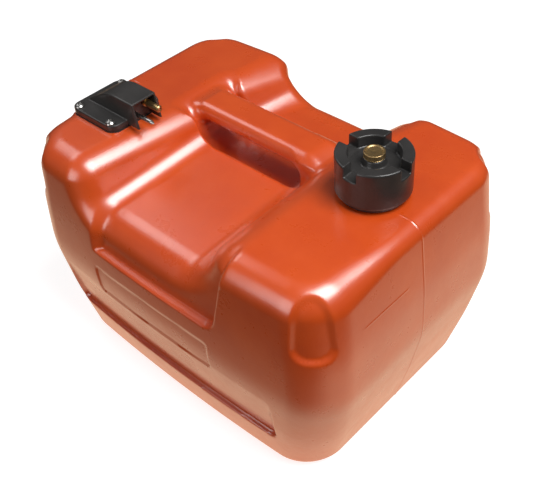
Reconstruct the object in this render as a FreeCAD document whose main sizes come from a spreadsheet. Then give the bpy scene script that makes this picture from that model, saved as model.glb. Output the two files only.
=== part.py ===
# Portable outboard fuel tank, millimetres, +Z up.
# The origin is in the middle of the resting face; X runs along the tank, -Y is its front.
import FreeCAD, Part
import Sketcher
import math
import os

V = FreeCAD.Vector

# Driving dimensions: name, value, what it is
DIMENSIONS = [
    ("body_length", 369, "overall length at the belt"),
    ("body_depth", 271, "overall depth at the belt, crown of the bowed walls included"),
    ("body_height", 228, "height of the two shoulders"),
    ("wall", 4, "thickness of the moulded wall"),
    ("belt_height", 112, "height of the widest section"),
    ("lower_height", 58, "height of the section between foot and belt"),
    ("shoulder_height", 160, "height of the upper section"),
    ("crown_margin", 6, "height of the last section above the shoulders"),
    ("foot_inset_x", 26, "foot section inside the belt, each end"),
    ("foot_inset_y", 15, "foot section inside the belt, front and rear"),
    ("lower_inset_x", 11, "lower section inside the belt, each end"),
    ("lower_inset_y", 5.2, "lower section inside the belt, front and rear"),
    ("shoulder_inset_x", 2.4, "upper section inside the belt, each end"),
    ("shoulder_inset_y", 2.8, "upper section inside the belt, front and rear"),
    ("crown_inset_x", 13, "last section inside the belt, each end"),
    ("crown_inset_y", 7, "last section inside the belt, front and rear"),
    ("corner_radius", 38, "upright corners in plan"),
    ("wall_bow", 8, "rise of the bowed front and rear walls"),
    ("foot_round", 12, "rounding round the resting face"),
    ("crown_round", 13, "rounding round the shoulders"),
    ("trough_left", 55, "trough floor, left of the middle"),
    ("trough_right", 57, "trough floor, right of the middle"),
    ("trough_depth", 48, "trough floor under the handle, below the shoulders"),
    ("front_depth", 38, "trough floor in front of the finger gap, below the shoulders"),
    ("trough_step", 3.5, "step down to the finger gap, behind the middle"),
    ("trough_left_run", 16, "slope of the trough's left wall, in plan"),
    ("trough_right_run", 26, "slope of the trough's right wall, in plan"),
    ("trough_flare", 18, "rounding from a shoulder into the trough"),
    ("trough_fillet", 14, "rounding from the trough's wall into its floor"),
    ("scallop_depth", 3, "corner scallops below the shoulder pads"),
    ("scallop_start", 139, "scallops' edge on the front and rear walls, from the middle"),
    ("scallop_end_y", 94, "scallops' edge on the end walls, from the middle"),
    ("scallop_height", 140, "lowest point of a scallop's ledge"),
    ("scallop_round", 14, "rounding of a scallop's foot"),
    ("recess_depth", 8, "central recess below the shoulder pads"),
    ("recess_height", 105, "ledge of the central recess"),
    ("recess_foot_left", 122, "recess at its ledge, left of the middle"),
    ("recess_foot_right", 49, "recess at its ledge, right of the middle"),
    ("recess_top_left", 79, "recess at the trough, left of the middle"),
    ("recess_top_right", 75, "recess at the trough, right of the middle"),
    ("recess_round", 10, "lower corners of the recess"),
    ("panel_depth", 5, "lower panel's ledge depth, carried down to the foot"),
    ("panel_fade", 62, "height where the lower panel comes flush"),
    ("panel_low", 21, "ledge of the lower panel"),
    ("panel_left", 169, "lower panel, left of the middle"),
    ("panel_right", 111, "lower panel, right of the middle"),
    ("panel_round", 5, "corners of the lower panel"),
    ("label_depth", 1.2, "label field below the wall"),
    ("label_low", 61, "lower edge of the label field"),
    ("label_high", 88, "upper edge of the label field"),
    ("label_left", 118, "label field, left of the middle"),
    ("label_right", 38, "label field, right of the middle"),
    ("label_round", 4, "corners of the label field"),
    ("handle_width", 34, "handle, front to rear"),
    ("handle_y", 24.5, "middle of the handle, behind the middle of the tank"),
    ("handle_thickness", 18, "handle, top to underside"),
    ("handle_drop", 1, "handle below the shoulders"),
    ("handle_bite", 27, "handle's reach into the walls beyond the trough"),
    ("handle_round", 9, "upper edges of the handle"),
    ("grip_left", 69, "finger gap, left of the middle"),
    ("grip_right", 49, "finger gap, right of the middle"),
    ("grip_round", 9, "corners of the finger gap"),
    ("grip_edge", 5, "rounding of the handle's underside"),
    ("inner_bevel", 6, "bevel along the foot and crown inside the wall"),
    ("inner_corner", 14, "how much fuller the upright corners are inside"),
    ("inner_foot", 4, "how much further in the wall's foot is inside, behind the lower panel"),
    ("cap_x", 120.5, "filler neck's axis along the tank"),
    ("cap_y", 12, "filler neck's axis, front to rear"),
    ("neck_height", 22.5, "neck's rim above the shoulder"),
    ("neck_bore", 20.5, "radius of the filler neck's bore"),
    ("neck_wall", 5, "thickness of the filler neck"),
    ("neck_root", 16, "depth of the neck and fitting seats moulded into the shoulders"),
    ("cap_lift", 1.2, "closed cap's lower edge above the shoulder"),
    ("thread_room", 1.5, "room between neck and cap for their threads"),
    ("cap_radius", 31.5, "outer radius of the cap"),
    ("collar_radius", 28.5, "radius of the collar at the cap's lower edge"),
    ("collar_height", 3.8, "height of the collar"),
    ("gasket_thickness", 2, "thickness of the cap's gasket"),
    ("gasket_room", 0.5, "cap's gasket inside the cap's skirt"),
    ("deck_thickness", 4, "thickness of the cap's deck"),
    ("deck_radius", 21.5, "deck's radius inside the raised rim"),
    ("rim_height", 10, "raised rim above the deck"),
    ("rim_bevel", 2, "bevel of the raised rim"),
    ("notch_count", 4, "gaps in the raised rim"),
    ("notch_width", 12, "width of each gap in the raised rim"),
    ("boss_height", 5.5, "vent boss above the deck"),
    ("boss_foot", 10.5, "vent boss's radius at the deck"),
    ("boss_top", 9.2, "vent boss's radius at its top"),
    ("bush_radius", 6.5, "outer radius of the vent bush"),
    ("bush_tail", 1, "vent bush below the deck"),
    ("stem_radius", 3, "radius of the vent screw's stem"),
    ("stem_clearance", 0.05, "radial clearance of the stem in its bush"),
    ("vent_head_radius", 8.7, "radius of the vent screw's head"),
    ("vent_head_height", 5, "height of the vent screw's head"),
    ("vent_head_bevel", 0.8, "bevel of the vent screw's head"),
    ("vent_dish_radius", 6, "radius of the dished top of the vent screw"),
    ("vent_dish", 0.8, "depth of the dished top of the vent screw"),
    ("vent_head_gap", 0.3, "closed vent screw's head above the boss"),
    ("vent_ring_section", 1.6, "thickness of the vent's sealing ring"),
    ("vent_ring_gap", 0.05, "vent's sealing ring above the boss"),
    ("vent_travel", 3, "how far the vent screw opens"),
    ("clip_thickness", 1, "thickness of the vent screw's clip"),
    ("stem_tail", 1.5, "vent screw's stem beyond its clip"),
    ("clip_radius", 5, "outer radius of the vent screw's clip"),
    ("clip_mouth", 4.2, "opening of the vent screw's clip"),
    ("groove_depth", 0.5, "depth of the clip's groove"),
    ("small_clearance", 0.1, "clearance of small rings in their grooves"),
    ("baffle_wall", 1.5, "thickness of the splash cup"),
    ("baffle_clearance", 1.5, "splash cup inside the neck's bore"),
    ("baffle_depth", 7.5, "splash cup below the neck's rim"),
    ("baffle_flange", 1, "thickness of the splash cup's flange"),
    ("baffle_edge", 0.5, "splash cup's flange inside the neck's edge"),
    ("baffle_holes", 6, "drain holes of the splash cup"),
    ("drain_place", 11.4, "drain holes from the middle of the splash cup"),
    ("baffle_hole_radius", 2.6, "radius of a drain hole"),
    ("fitting_x", -136, "fuel fitting's middle along the tank"),
    ("fitting_y", -41.5, "fuel fitting's middle, front to rear"),
    ("flange_length", 60, "side of the fitting's square flange"),
    ("flange_thickness", 6, "thickness of the flange"),
    ("flange_corner", 9, "corners of the flange"),
    ("flange_edge", 1.5, "rounding of the flange's upper edge"),
    ("seat_margin", 1, "moulded seat inside the flange's edge"),
    ("fitting_gasket_thickness", 2, "thickness of the flange gasket"),
    ("screw_reach_x", 22, "flange screws from the fitting's middle, along the tank"),
    ("screw_reach_y", 25, "flange screws from the fitting's middle, front to rear"),
    ("screw_radius", 2.5, "radius of a flange screw's shank"),
    ("screw_hole", 2.75, "radius of a flange screw's hole"),
    ("screw_head_radius", 4.6, "radius of a flange screw's head"),
    ("screw_head_height", 3.2, "height of a flange screw's head"),
    ("screw_head_bevel", 1.6, "bevel of a flange screw's head"),
    ("screw_reach", 7, "flange screw's reach below the gasket"),
    ("insert_radius", 3.6, "outer radius of a threaded insert"),
    ("insert_length", 9, "length of a threaded insert"),
    ("insert_post_wall", 3, "moulding round a threaded insert"),
    ("insert_clearance", 0.05, "radial clearance of a screw in its insert"),
    ("cowl_front", -12, "cowl's front face from the fitting's middle"),
    ("cowl_width", 28, "width of the cowl"),
    ("cowl_height", 19, "cowl's roof above the flange"),
    ("cowl_ramp_foot", -26, "foot of the cowl's ramp from the fitting's middle"),
    ("cowl_ramp_top", 5, "top of the cowl's ramp from the fitting's middle"),
    ("cowl_ramp_round", 6, "rounding from the ramp into the roof"),
    ("cowl_roof_end", 40, "end of the cowl's roof from the fitting's middle"),
    ("cowl_lip", 45, "lower end of the cowl's mouth from the fitting's middle"),
    ("cowl_wall", 2, "thickness of the cowl's walls"),
    ("cowl_floor_gap", 2.5, "cowl's side walls above the shoulder"),
    ("cowl_round", 1.2, "rounding of the cowl's upper edges"),
    ("spigot_radius", 9, "radius of the fitting's spigot"),
    ("spigot_reach", 14, "spigot below the shoulder"),
    ("port_clearance", 1, "spigot's clearance in the tank"),
    ("port_ring_section", 2.4, "thickness of the spigot's sealing ring"),
    ("ring_bevel", 0.3, "bevel of a sealing ring's section, as a share of its thickness"),
    ("port_ring_depth", 6, "sealing ring below the shoulder"),
    ("passage_radius", 3.5, "radius of the fuel passage"),
    ("cross_radius", 2, "radius of the drilled cross passage"),
    ("prong_y", 10, "fuel prong's axis from the fitting's middle"),
    ("prong_height", 16, "fuel prong's axis above the shoulder"),
    ("prong_radius", 3.2, "outer radius of the fuel prong"),
    ("prong_bevel", 0.8, "bevel of the fuel prong's tip"),
    ("prong_end", 51, "tip of the fuel prong from the fitting's middle"),
    ("prong_root", 12, "fuel prong's root inside the housing"),
    ("prong_root_radius", 2.8, "radius of the fuel prong's root"),
    ("prong_collar_radius", 3.8, "radius of the fuel prong's collar"),
    ("prong_collar", 2.5, "length of the fuel prong's collar"),
    ("prong_seal_thickness", 1, "thickness of the prong's seal"),
    ("prong_bore", 2.2, "radius of the fuel prong's bore"),
    ("prong_lip", 1.5, "radius of the prong's mouth"),
    ("prong_lip_length", 2.5, "length of the prong's mouth"),
    ("spring_seat", 3, "spring's seat beyond the housing's face"),
    ("feed_radius", 1.3, "radius of the bore behind the spring"),
    ("plunger_clearance", 0.15, "radial clearance of the plunger"),
    ("plunger_length", 3.5, "length of the plunger's head"),
    ("plunger_gap", 0.05, "plunger's head behind the prong's mouth"),
    ("plunger_drop", 0.45, "plunger's pin inside the prong's tip"),
    ("plunger_pin", 1.1, "radius of the plunger's pin"),
    ("plunger_travel", 3, "how far the plunger is pushed in"),
    ("spring_radius", 1.5, "mean radius of the check spring"),
    ("spring_wire", 0.25, "half the thickness of the check spring's wire"),
    ("spring_turns", 5, "turns of the check spring"),
    ("pin_y", -5.5, "guide pin's axis from the fitting's middle"),
    ("pin_height", 13, "guide pin's axis above the shoulder"),
    ("pin_radius", 2, "radius of the guide pin"),
    ("pin_root_radius", 1.7, "radius of the guide pin's root"),
    ("pin_end", 60, "tip of the guide pin from the fitting's middle"),
    ("pin_root", 12, "guide pin's root inside the housing"),
    ("pin_point", 3.5, "length of the guide pin's point"),
    ("pin_flat", 0.5, "radius of the guide pin's blunt end"),
    ("pin_groove_place", 7.5, "guide pin's groove behind its tip"),
    ("pin_groove_width", 1.6, "width of the guide pin's groove"),
    ("pin_groove_depth", 0.6, "depth of the guide pin's groove"),
    ("tube_radius", 5, "outer radius of the pickup tube"),
    ("tube_wall", 1.2, "wall of the pickup tube"),
    ("tube_socket", 10, "pickup tube's reach into the spigot"),
    ("tube_clearance", 0.05, "radial clearance of the pickup tube in its holes"),
    ("collar_length", 6, "length of the pickup's retaining collar"),
    ("pickup_clearance", 6, "strainer's foot above the tank's floor"),
    ("strainer_length", 34, "length of the strainer"),
    ("strainer_radius", 8.8, "outer radius of the strainer"),
    ("strainer_wall", 1.2, "thickness of the strainer's ribs"),
    ("strainer_ribs", 4, "windows round the strainer"),
    ("strainer_window", 9, "width of a strainer's window"),
    ("window_round", 1.5, "corners of a strainer's window"),
    ("strainer_rim", 4, "height of the strainer's solid ends"),
    ("mesh_thickness", 0.5, "thickness of the strainer's screen"),
]


class Size:
    """A value together with the sheet expression that gives it."""

    def __init__(self, value, text):
        self.value = float(value)
        self.text = text

    def __add__(self, other):
        other = as_size(other)
        return Size(self.value + other.value, f"({self.text} + {other.text})")

    def __radd__(self, other):
        return as_size(other) + self

    def __sub__(self, other):
        other = as_size(other)
        return Size(self.value - other.value, f"({self.text} - {other.text})")

    def __rsub__(self, other):
        return as_size(other) - self

    def __mul__(self, other):
        other = as_size(other)
        return Size(self.value * other.value, f"({self.text} * {other.text})")

    def __rmul__(self, other):
        return as_size(other) * self

    def __truediv__(self, other):
        other = as_size(other)
        return Size(self.value / other.value, f"({self.text} / {other.text})")

    def __neg__(self):
        return Size(-self.value, f"(0 - {self.text})")


def as_size(number):
    if isinstance(number, Size):
        return number
    if number < 0:
        return Size(number, f"(0 - {abs(number)!r})")
    return Size(number, repr(number))


def root(size):
    return Size(math.sqrt(size.value), f"sqrt({size.text})")


doc = FreeCAD.newDocument("outboard_fuel_tank")
sheet = doc.addObject("Spreadsheet::Sheet", "sizes")
for row, (alias, value, meaning) in enumerate(DIMENSIONS, start=1):
    sheet.set(f"A{row}", str(value))
    sheet.setAlias(f"A{row}", alias)
    sheet.set(f"B{row}", meaning)
doc.recompute()


def dim(alias):
    return Size(float(sheet.get(alias)), f"sizes.{alias}")


def bind(item, path, size):
    item.setExpression(path, as_size(size).text)


# Sketches
PLANE_TURN = {
    "XY_Plane": FreeCAD.Rotation(V(0, 0, 1), 0),
    "XZ_Plane": FreeCAD.Rotation(V(1, 0, 0), 90),
    "YZ_Plane": FreeCAD.Rotation(V(1, 1, 1), 120),
}
PLANE_AXIS = {"XY_Plane": ("z", 1), "XZ_Plane": ("y", -1), "YZ_Plane": ("x", 1)}


def new_sketch(owner, name, plane, offset=0):
    """A sketch on one of a body's origin planes, or free in the document; offset runs along +Z, +Y or +X."""
    axis, sense = PLANE_AXIS[plane]
    if owner is doc:
        sketch = doc.addObject("Sketcher::SketchObject", name)
        sketch.Placement = FreeCAD.Placement(V(0, 0, 0), PLANE_TURN[plane])
        bind(sketch, f"Placement.Base.{axis}", offset)
        return sketch
    sketch = owner.newObject("Sketcher::SketchObject", name)
    support = [item for item in owner.Origin.OriginFeatures if item.Role == plane][0]
    sketch.AttachmentSupport = (support, [""])
    sketch.MapMode = "FlatFace"
    bind(sketch, "AttachmentOffset.Base.z", as_size(offset) * sense)
    return sketch


class Outline:
    """Collects geometry and constraints, and adds them to a sketch in one go."""

    def __init__(self, sketch):
        self.sketch = sketch
        self.first = sketch.ConstraintCount
        self.rules = []
        self.sizes = {}

    def shape(self, geometry, construction=False):
        return self.sketch.addGeometry(geometry, construction)

    def rule(self, *values):
        self.rules.append(Sketcher.Constraint(*values))

    def size(self, kind, where, size):
        size = as_size(size)
        self.sizes[len(self.rules)] = size
        self.rules.append(Sketcher.Constraint(kind, *where, size.value))

    def place(self, item, point, x, y):
        """Fix a point of the sketch at x, y."""
        for kind, axis, size in (("DistanceX", -2, as_size(x)), ("DistanceY", -1, as_size(y))):
            if size.value == 0 and size.text in ("0", "0.0"):
                self.rule("PointOnObject", item, point, axis)
            else:
                self.size(kind, (-1, 1, item, point), size)

    def close(self):
        self.sketch.addConstraint(self.rules)
        for number, size in self.sizes.items():
            self.sketch.setExpression(f"Constraints[{self.first + number}]", size.text)


def number(value):
    return as_size(value).value


def closed_profile(sketch, corners):
    """A closed outline through corners (x, y) or (x, y, rounding)."""
    draw = Outline(sketch)
    count = len(corners)
    points = [V(number(corner[0]), number(corner[1]), 0) for corner in corners]
    leave, arrive, arcs = [], [], []
    for index, corner in enumerate(corners):
        point = points[index]
        back = (points[index - 1] - point).normalize()
        ahead = (points[(index + 1) % count] - point).normalize()
        if len(corner) < 3:
            arrive.append(point)
            leave.append(point)
            arcs.append(None)
            continue
        radius = number(corner[2])
        half_angle = back.getAngle(ahead) / 2
        trim = radius / math.tan(half_angle)
        centre = point + (back + ahead).normalize() * (radius / math.sin(half_angle))
        first, last = point + back * trim, point + ahead * trim
        turns_left = (point - points[index - 1]).cross(points[(index + 1) % count] - point).z > 0
        start, end = (first, last) if turns_left else (last, first)
        angles = [math.atan2(spot.y - centre.y, spot.x - centre.x) for spot in (start, end)]
        if angles[1] < angles[0]:
            angles[1] += 2 * math.pi
        arcs.append((centre, radius, angles, turns_left))
        arrive.append(first)
        leave.append(last)
    lines = [draw.shape(Part.LineSegment(leave[index], arrive[(index + 1) % count])) for index in range(count)]
    for index, corner in enumerate(corners):
        before, after = lines[index - 1], lines[index]
        if arcs[index] is None:
            draw.rule("Coincident", before, 2, after, 1)
            draw.place(after, 1, corner[0], corner[1])
            continue
        centre, radius, angles, turns_left = arcs[index]
        arc = draw.shape(Part.ArcOfCircle(Part.Circle(centre, V(0, 0, 1), radius), *angles))
        entry, leaving = (1, 2) if turns_left else (2, 1)
        tip = draw.shape(Part.Point(points[index]), True)
        draw.rule("Tangent", before, 2, arc, entry)
        draw.rule("Tangent", arc, leaving, after, 1)
        draw.size("Radius", (arc,), corner[2])
        draw.rule("PointOnObject", tip, 1, before)
        draw.rule("PointOnObject", tip, 1, after)
        draw.place(tip, 1, corner[0], corner[1])
    draw.close()
    return sketch


def circle(sketch, x, y, radius):
    draw = Outline(sketch)
    ring = draw.shape(Part.Circle(V(number(x), number(y), 0), V(0, 0, 1), number(radius)))
    draw.place(ring, 3, x, y)
    draw.size("Radius", (ring,), radius)
    draw.close()
    return sketch


def rectangle(sketch, left, right, low, high, radius=None):
    ends = [(left, low), (right, low), (right, high), (left, high)]
    if radius is not None:
        ends = [corner + (radius,) for corner in ends]
    return closed_profile(sketch, ends)


def bowed_rectangle(sketch, half_length, half_depth, bow, radius):
    """Rectangle with rounded corners, straight ends and outward-bowed front and rear."""
    draw = Outline(sketch)
    bow_radius = (half_length * half_length + bow * bow) / (bow * 2)
    bow_centre = half_depth + bow - bow_radius
    corner_x = half_length - radius
    span = bow_radius - radius
    corner_y = bow_centre + root(span * span - corner_x * corner_x)
    a, xc, yc = half_length.value, corner_x.value, corner_y.value
    bow_y, bow_r, r = bow_centre.value, bow_radius.value, radius.value
    lean = math.atan2(xc, yc - bow_y)
    up = math.pi / 2
    right = draw.shape(Part.LineSegment(V(a, -yc, 0), V(a, yc, 0)))
    left = draw.shape(Part.LineSegment(V(-a, yc, 0), V(-a, -yc, 0)))

    def arc(x, y, size, start, end):
        return draw.shape(Part.ArcOfCircle(Part.Circle(V(x, y, 0), V(0, 0, 1), size), start, end))

    rear = arc(0, bow_y, bow_r, up - lean, up + lean)
    front = arc(0, -bow_y, bow_r, -up - lean, -up + lean)
    corners = [
        arc(xc, yc, r, 0, up - lean),
        arc(-xc, yc, r, up + lean, math.pi),
        arc(-xc, -yc, r, math.pi, 3 * up - lean),
        arc(xc, -yc, r, 3 * up + lean, 4 * up),
    ]
    ring = [right, corners[0], rear, corners[1], left, corners[2], front, corners[3]]
    for index, item in enumerate(ring):
        draw.rule("Tangent", item, 2, ring[(index + 1) % len(ring)], 1)
    for item in corners:
        draw.size("Radius", (item,), radius)
    draw.rule("Vertical", right)
    draw.rule("Vertical", left)
    draw.size("DistanceX", (-1, 1, right, 1), half_length)
    draw.size("DistanceX", (-1, 1, left, 1), -half_length)
    for item, sense in ((rear, 1), (front, -1)):
        draw.rule("PointOnObject", item, 3, -2)
        draw.size("DistanceY", (-1, 1, item, 3), bow_centre * sense)
        draw.size("Radius", (item,), bow_radius)
    draw.close()
    return sketch


# Features
def body(name):
    return doc.addObject("PartDesign::Body", name)


def feature(owner, kind, name, profile, **links):
    item = owner.newObject(f"PartDesign::{kind}", name)
    item.Profile = profile
    for link, value in links.items():
        setattr(item, link, value)
    return item


def pad(owner, name, profile, length, **links):
    item = feature(owner, "Pad", name, profile, **links)
    bind(item, "Length", length)
    return item


def pocket(owner, name, profile, length, **links):
    item = feature(owner, "Pocket", name, profile, **links)
    bind(item, "Length", length)
    return item


def edges_between(shape, accept):
    """Names of the edges whose two faces and middle the test accepts."""
    names = []
    for position, edge in enumerate(shape.Edges, start=1):
        faces = shape.ancestorsOfType(edge, Part.Face)
        if len(faces) == 2 and accept(edge, *faces):
            names.append(f"Edge{position}")
    return names


def round_edges(owner, name, base, radius, accept):
    doc.recompute()
    item = owner.newObject("PartDesign::Fillet", name)
    item.Base = (base, edges_between(base.Shape, accept))
    bind(item, "Radius", radius)
    return item


def bevel_edges(owner, name, base, size, accept):
    doc.recompute()
    item = owner.newObject("PartDesign::Chamfer", name)
    item.Base = (base, edges_between(base.Shape, accept))
    bind(item, "Size", size)
    return item


# Tank
def crown_profile(owner, name, place, grow, depth):
    """What is cut away above the shoulders and out of a trough this deep, seen from the front."""
    top = dim("body_height") - grow
    floor = top - depth
    left_top = -dim("trough_left") - dim("trough_left_run") - grow
    right_top = dim("trough_right") + dim("trough_right_run") + grow
    fall = depth / dim("trough_depth")
    reach = dim("body_length") / 2 + dim("crown_margin")
    above = dim("body_height") + dim("crown_margin") * 3
    flare, fillet = dim("trough_flare") - grow, dim("trough_fillet") + grow
    sketch = new_sketch(owner, name, "XZ_Plane", place)
    return closed_profile(sketch, [
        (-reach, top),
        (left_top, top, flare),
        (left_top + dim("trough_left_run") * fall, floor, fillet),
        (right_top - dim("trough_right_run") * fall, floor, fillet),
        (right_top, top, flare),
        (reach, top),
        (reach, above),
        (-reach, above),
    ])


def is_wall(face):
    return "BSpline" in face.Surface.TypeId


def tank_form(name, inset=0, grow=0, fade=None, rounded=True, fuller=0, foot=0):
    """The moulded outside, drawn in by inset, which a fade height brings back to nothing.

    grow lowers the shoulders and widens the trough, for the inside of the wall, whose edges are bevelled.
    fuller adds to the upright corners' radius, and foot draws the lowest section further in."""
    owner = body(name)
    inset = as_size(inset)
    stations = [
        ("foot", as_size(grow), dim("foot_inset_x") + foot, dim("foot_inset_y") + foot),
        ("lower", dim("lower_height"), dim("lower_inset_x"), dim("lower_inset_y")),
        ("belt", dim("belt_height"), as_size(0), as_size(0)),
        ("shoulder", dim("shoulder_height"), dim("shoulder_inset_x"), dim("shoulder_inset_y")),
        ("crown", dim("body_height") + dim("crown_margin"), dim("crown_inset_x"), dim("crown_inset_y")),
    ]
    sections = []
    for label, height, inset_x, inset_y in stations:
        sketch = new_sketch(owner, f"{name}_{label}", "XY_Plane", height)
        here = inset if fade is None else grow + inset * (1 - height / fade)
        bowed_rectangle(
            sketch,
            dim("body_length") / 2 - inset_x - here,
            dim("body_depth") / 2 - dim("wall_bow") - inset_y - here,
            dim("wall_bow"),
            dim("corner_radius") - here + fuller,
        )
        sections.append(sketch)
    feature(owner, "AdditiveLoft", f"{name}_walls", sections[0], Sections=sections[1:], Ruled=True)
    grow = as_size(grow)
    step = dim("trough_step") - grow
    line = crown_profile(owner, f"{name}_front_line", step, grow, dim("front_depth"))
    pocket(owner, f"{name}_front_crown", line, dim("body_depth"), Reversed=True)
    line = crown_profile(owner, f"{name}_rear_line", step, grow, dim("trough_depth"))
    cut = pocket(owner, f"{name}_rear_crown", line, dim("body_depth"))
    if not rounded:
        return owner
    on_top = lambda edge, one, two: (
        edge.CenterOfMass.z > dim("belt_height").value and is_wall(one) != is_wall(two)
    )
    at_foot = lambda edge, one, two: edge.CenterOfMass.z < grow.value + 0.1
    if grow.value:
        top = bevel_edges(owner, f"{name}_crown_bevel", cut, dim("inner_bevel"), on_top)
        bevel_edges(owner, f"{name}_foot_bevel", top, dim("inner_bevel"), at_foot)
        return owner
    top = round_edges(owner, f"{name}_crown_round", cut, dim("crown_round"), on_top)
    round_edges(owner, f"{name}_foot_round", top, dim("foot_round"), at_foot)
    return owner


def boolean(kind, name, base, tool):
    item = doc.addObject(f"Part::{kind}", name)
    item.Base = base
    item.Tool = tool
    return item


def fuse(name, items):
    item = doc.addObject("Part::MultiFuse", name)
    item.Shapes = items
    return item


def prism(name, sketch, direction, reach):
    """A free sketch pushed out both ways along direction."""
    item = doc.addObject("Part::Extrusion", name)
    item.Base = sketch
    item.DirMode = "Custom"
    item.Dir = direction
    item.Solid = True
    item.Symmetric = True
    bind(item, "LengthFwd", reach)
    return item


def recess_blank(name, grow):
    """Central recess seen from the front: it widens down to its ledge."""
    above = dim("body_height") + dim("crown_margin")
    sketch = new_sketch(doc, f"{name}_line", "XZ_Plane")
    closed_profile(sketch, [
        (-dim("recess_foot_left") - grow, dim("recess_height") - grow, dim("recess_round") + grow),
        (dim("recess_foot_right") + grow, dim("recess_height") - grow, dim("recess_round") + grow),
        (dim("recess_top_right") + grow, above),
        (-dim("recess_top_left") - grow, above),
    ])
    return prism(name, sketch, V(0, 1, 0), dim("body_depth") * 2)


def panel_blank(name, grow):
    sketch = new_sketch(doc, f"{name}_line", "XZ_Plane")
    rectangle(
        sketch, -dim("panel_left") - grow, dim("panel_right") + grow,
        dim("panel_low") - grow, dim("panel_fade") + grow + 2, dim("panel_round"),
    )
    return prism(name, sketch, V(0, 1, 0), dim("body_depth") * 2)


def mirrored(name, item, normal):
    """The item and its mirror image across the plane with this normal through the origin."""
    image = doc.addObject("Part::Mirroring", f"{name}_image")
    image.Source = item
    image.Normal = normal
    return fuse(name, [item, image])


def scallop_blank(name, grow):
    """The four corner scallops, round-footed blocks one of which is drawn."""
    block = body(f"{name}_block")
    start, end = dim("scallop_start") - grow, dim("scallop_end_y") - grow
    foot, foot_round = dim("scallop_height") - grow, dim("scallop_round")
    sketch = new_sketch(block, f"{name}_line", "XZ_Plane", -end)
    closed_profile(sketch, [
        (start, foot, foot_round),
        (dim("body_length"), foot),
        (dim("body_length"), dim("body_height") * 2),
        (start, dim("body_height") * 2),
    ])
    push = pad(block, f"{name}_push", sketch, dim("body_depth"))
    round_edges(
        block, f"{name}_foot", push, foot_round,
        lambda edge, one, two: abs(edge.BoundBox.YMin + end.value) < 0.01 and abs(edge.BoundBox.YMax + end.value) < 0.01
        and edge.BoundBox.XMax < dim("body_length").value + 0.01 and edge.BoundBox.ZMin < foot.value + foot_round.value + 1,
    )
    pair = mirrored(f"{name}_pair", block, V(0, 1, 0))
    return mirrored(name, pair, V(1, 0, 0))


def carved(name, item, blank, floor):
    """The item less what of the blank lies outside the floor form."""
    tool = boolean("Cut", f"{name}_tool", blank, floor)
    return boolean("Cut", name, item, tool)


def outer_form():
    """The moulded outside with its corner scallops, central recesses, lower panels and label field."""
    item = tank_form("outside")
    floor = tank_form("scallop_floor", dim("scallop_depth"))
    item = carved("scalloped", item, scallop_blank("scallops", 0), floor)
    floor = tank_form("recess_floor", dim("recess_depth"))
    item = carved("recessed", item, recess_blank("recess", 0), floor)
    floor = tank_form("panel_floor", dim("panel_depth"), 0, dim("panel_fade"), rounded=False)
    item = carved("panelled", item, panel_blank("panel", 0), floor)
    floor = tank_form("label_floor", dim("label_depth"), rounded=False)
    return carved("labelled", item, label_blank("label"), floor)


def label_blank(name):
    """Front half of a prism round the label field."""
    owner = body(name)
    sketch = new_sketch(owner, f"{name}_line", "XZ_Plane")
    rectangle(
        sketch, -dim("label_left"), dim("label_right"),
        dim("label_low"), dim("label_high"), dim("label_round"),
    )
    pad(owner, f"{name}_push", sketch, dim("body_depth"))
    return owner


def inner_form():
    """Space inside the moulded wall, drawn in behind the central recesses."""
    wall = dim("wall")
    item = tank_form("inside", wall, wall, fuller=dim("inner_corner"), foot=dim("inner_foot"))
    floor = tank_form("inner_recess_floor", wall + dim("recess_depth"), wall)
    return carved("inside_recessed", item, recess_blank("inner_recess", wall), floor)


def handle_bridge():
    """Solid grip across the trough, with the finger gap under it."""
    owner = body("handle_bridge")
    top = dim("body_height") - dim("handle_drop")
    under = top - dim("handle_thickness")
    floor = dim("body_height") - dim("trough_depth")
    bite = dim("handle_bite")
    sink = dim("wall") / 2
    middle = dim("handle_y")
    sketch = new_sketch(owner, "bridge_line", "XZ_Plane", middle)
    rectangle(
        sketch, -dim("trough_left") - dim("trough_left_run") - bite,
        dim("trough_right") + dim("trough_right_run") + bite, floor - sink, top,
    )
    beam = pad(owner, "bridge_push", sketch, dim("handle_width"), SideType="Symmetric")
    sketch = new_sketch(owner, "grip_line", "XZ_Plane", middle)
    rectangle(sketch, -dim("grip_left"), dim("grip_right"), floor - sink / 2, under, dim("grip_round"))
    slot = pocket(owner, "grip_slot", sketch, dim("handle_width") * 2, SideType="Symmetric")
    half = dim("handle_width").value / 2

    def on_a_side(edge):
        return abs(abs(edge.CenterOfMass.y - middle.value) - half) < 0.01

    top_round = round_edges(
        owner, "bridge_round", slot, dim("handle_round"),
        lambda edge, one, two: on_a_side(edge) and edge.BoundBox.ZMin > top.value - 0.01,
    )
    round_edges(
        owner, "grip_rounding", top_round, dim("grip_edge"),
        lambda edge, one, two: on_a_side(edge) and edge.BoundBox.ZMax < under.value + 0.01
        and edge.BoundBox.ZMin > floor.value - sink.value / 2 - 0.01
        and edge.BoundBox.XMin > -dim("grip_left").value - 0.01 and edge.BoundBox.XMax < dim("grip_right").value + 0.01,
    )
    return owner


def cylinder(name, x, y, low, high, radius):
    """Upright cylinder between two heights."""
    item = doc.addObject("Part::Cylinder", name)
    bind(item, "Radius", radius)
    bind(item, "Height", as_size(high) - low)
    for axis, size in (("x", x), ("y", y), ("z", low)):
        bind(item, f"Placement.Base.{axis}", size)
    return item


def screw_places():
    """The four flange screws about the fitting's middle."""
    return [(dim("screw_reach_x") * along, dim("screw_reach_y") * across) for along in (-1, 1) for across in (-1, 1)]


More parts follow.
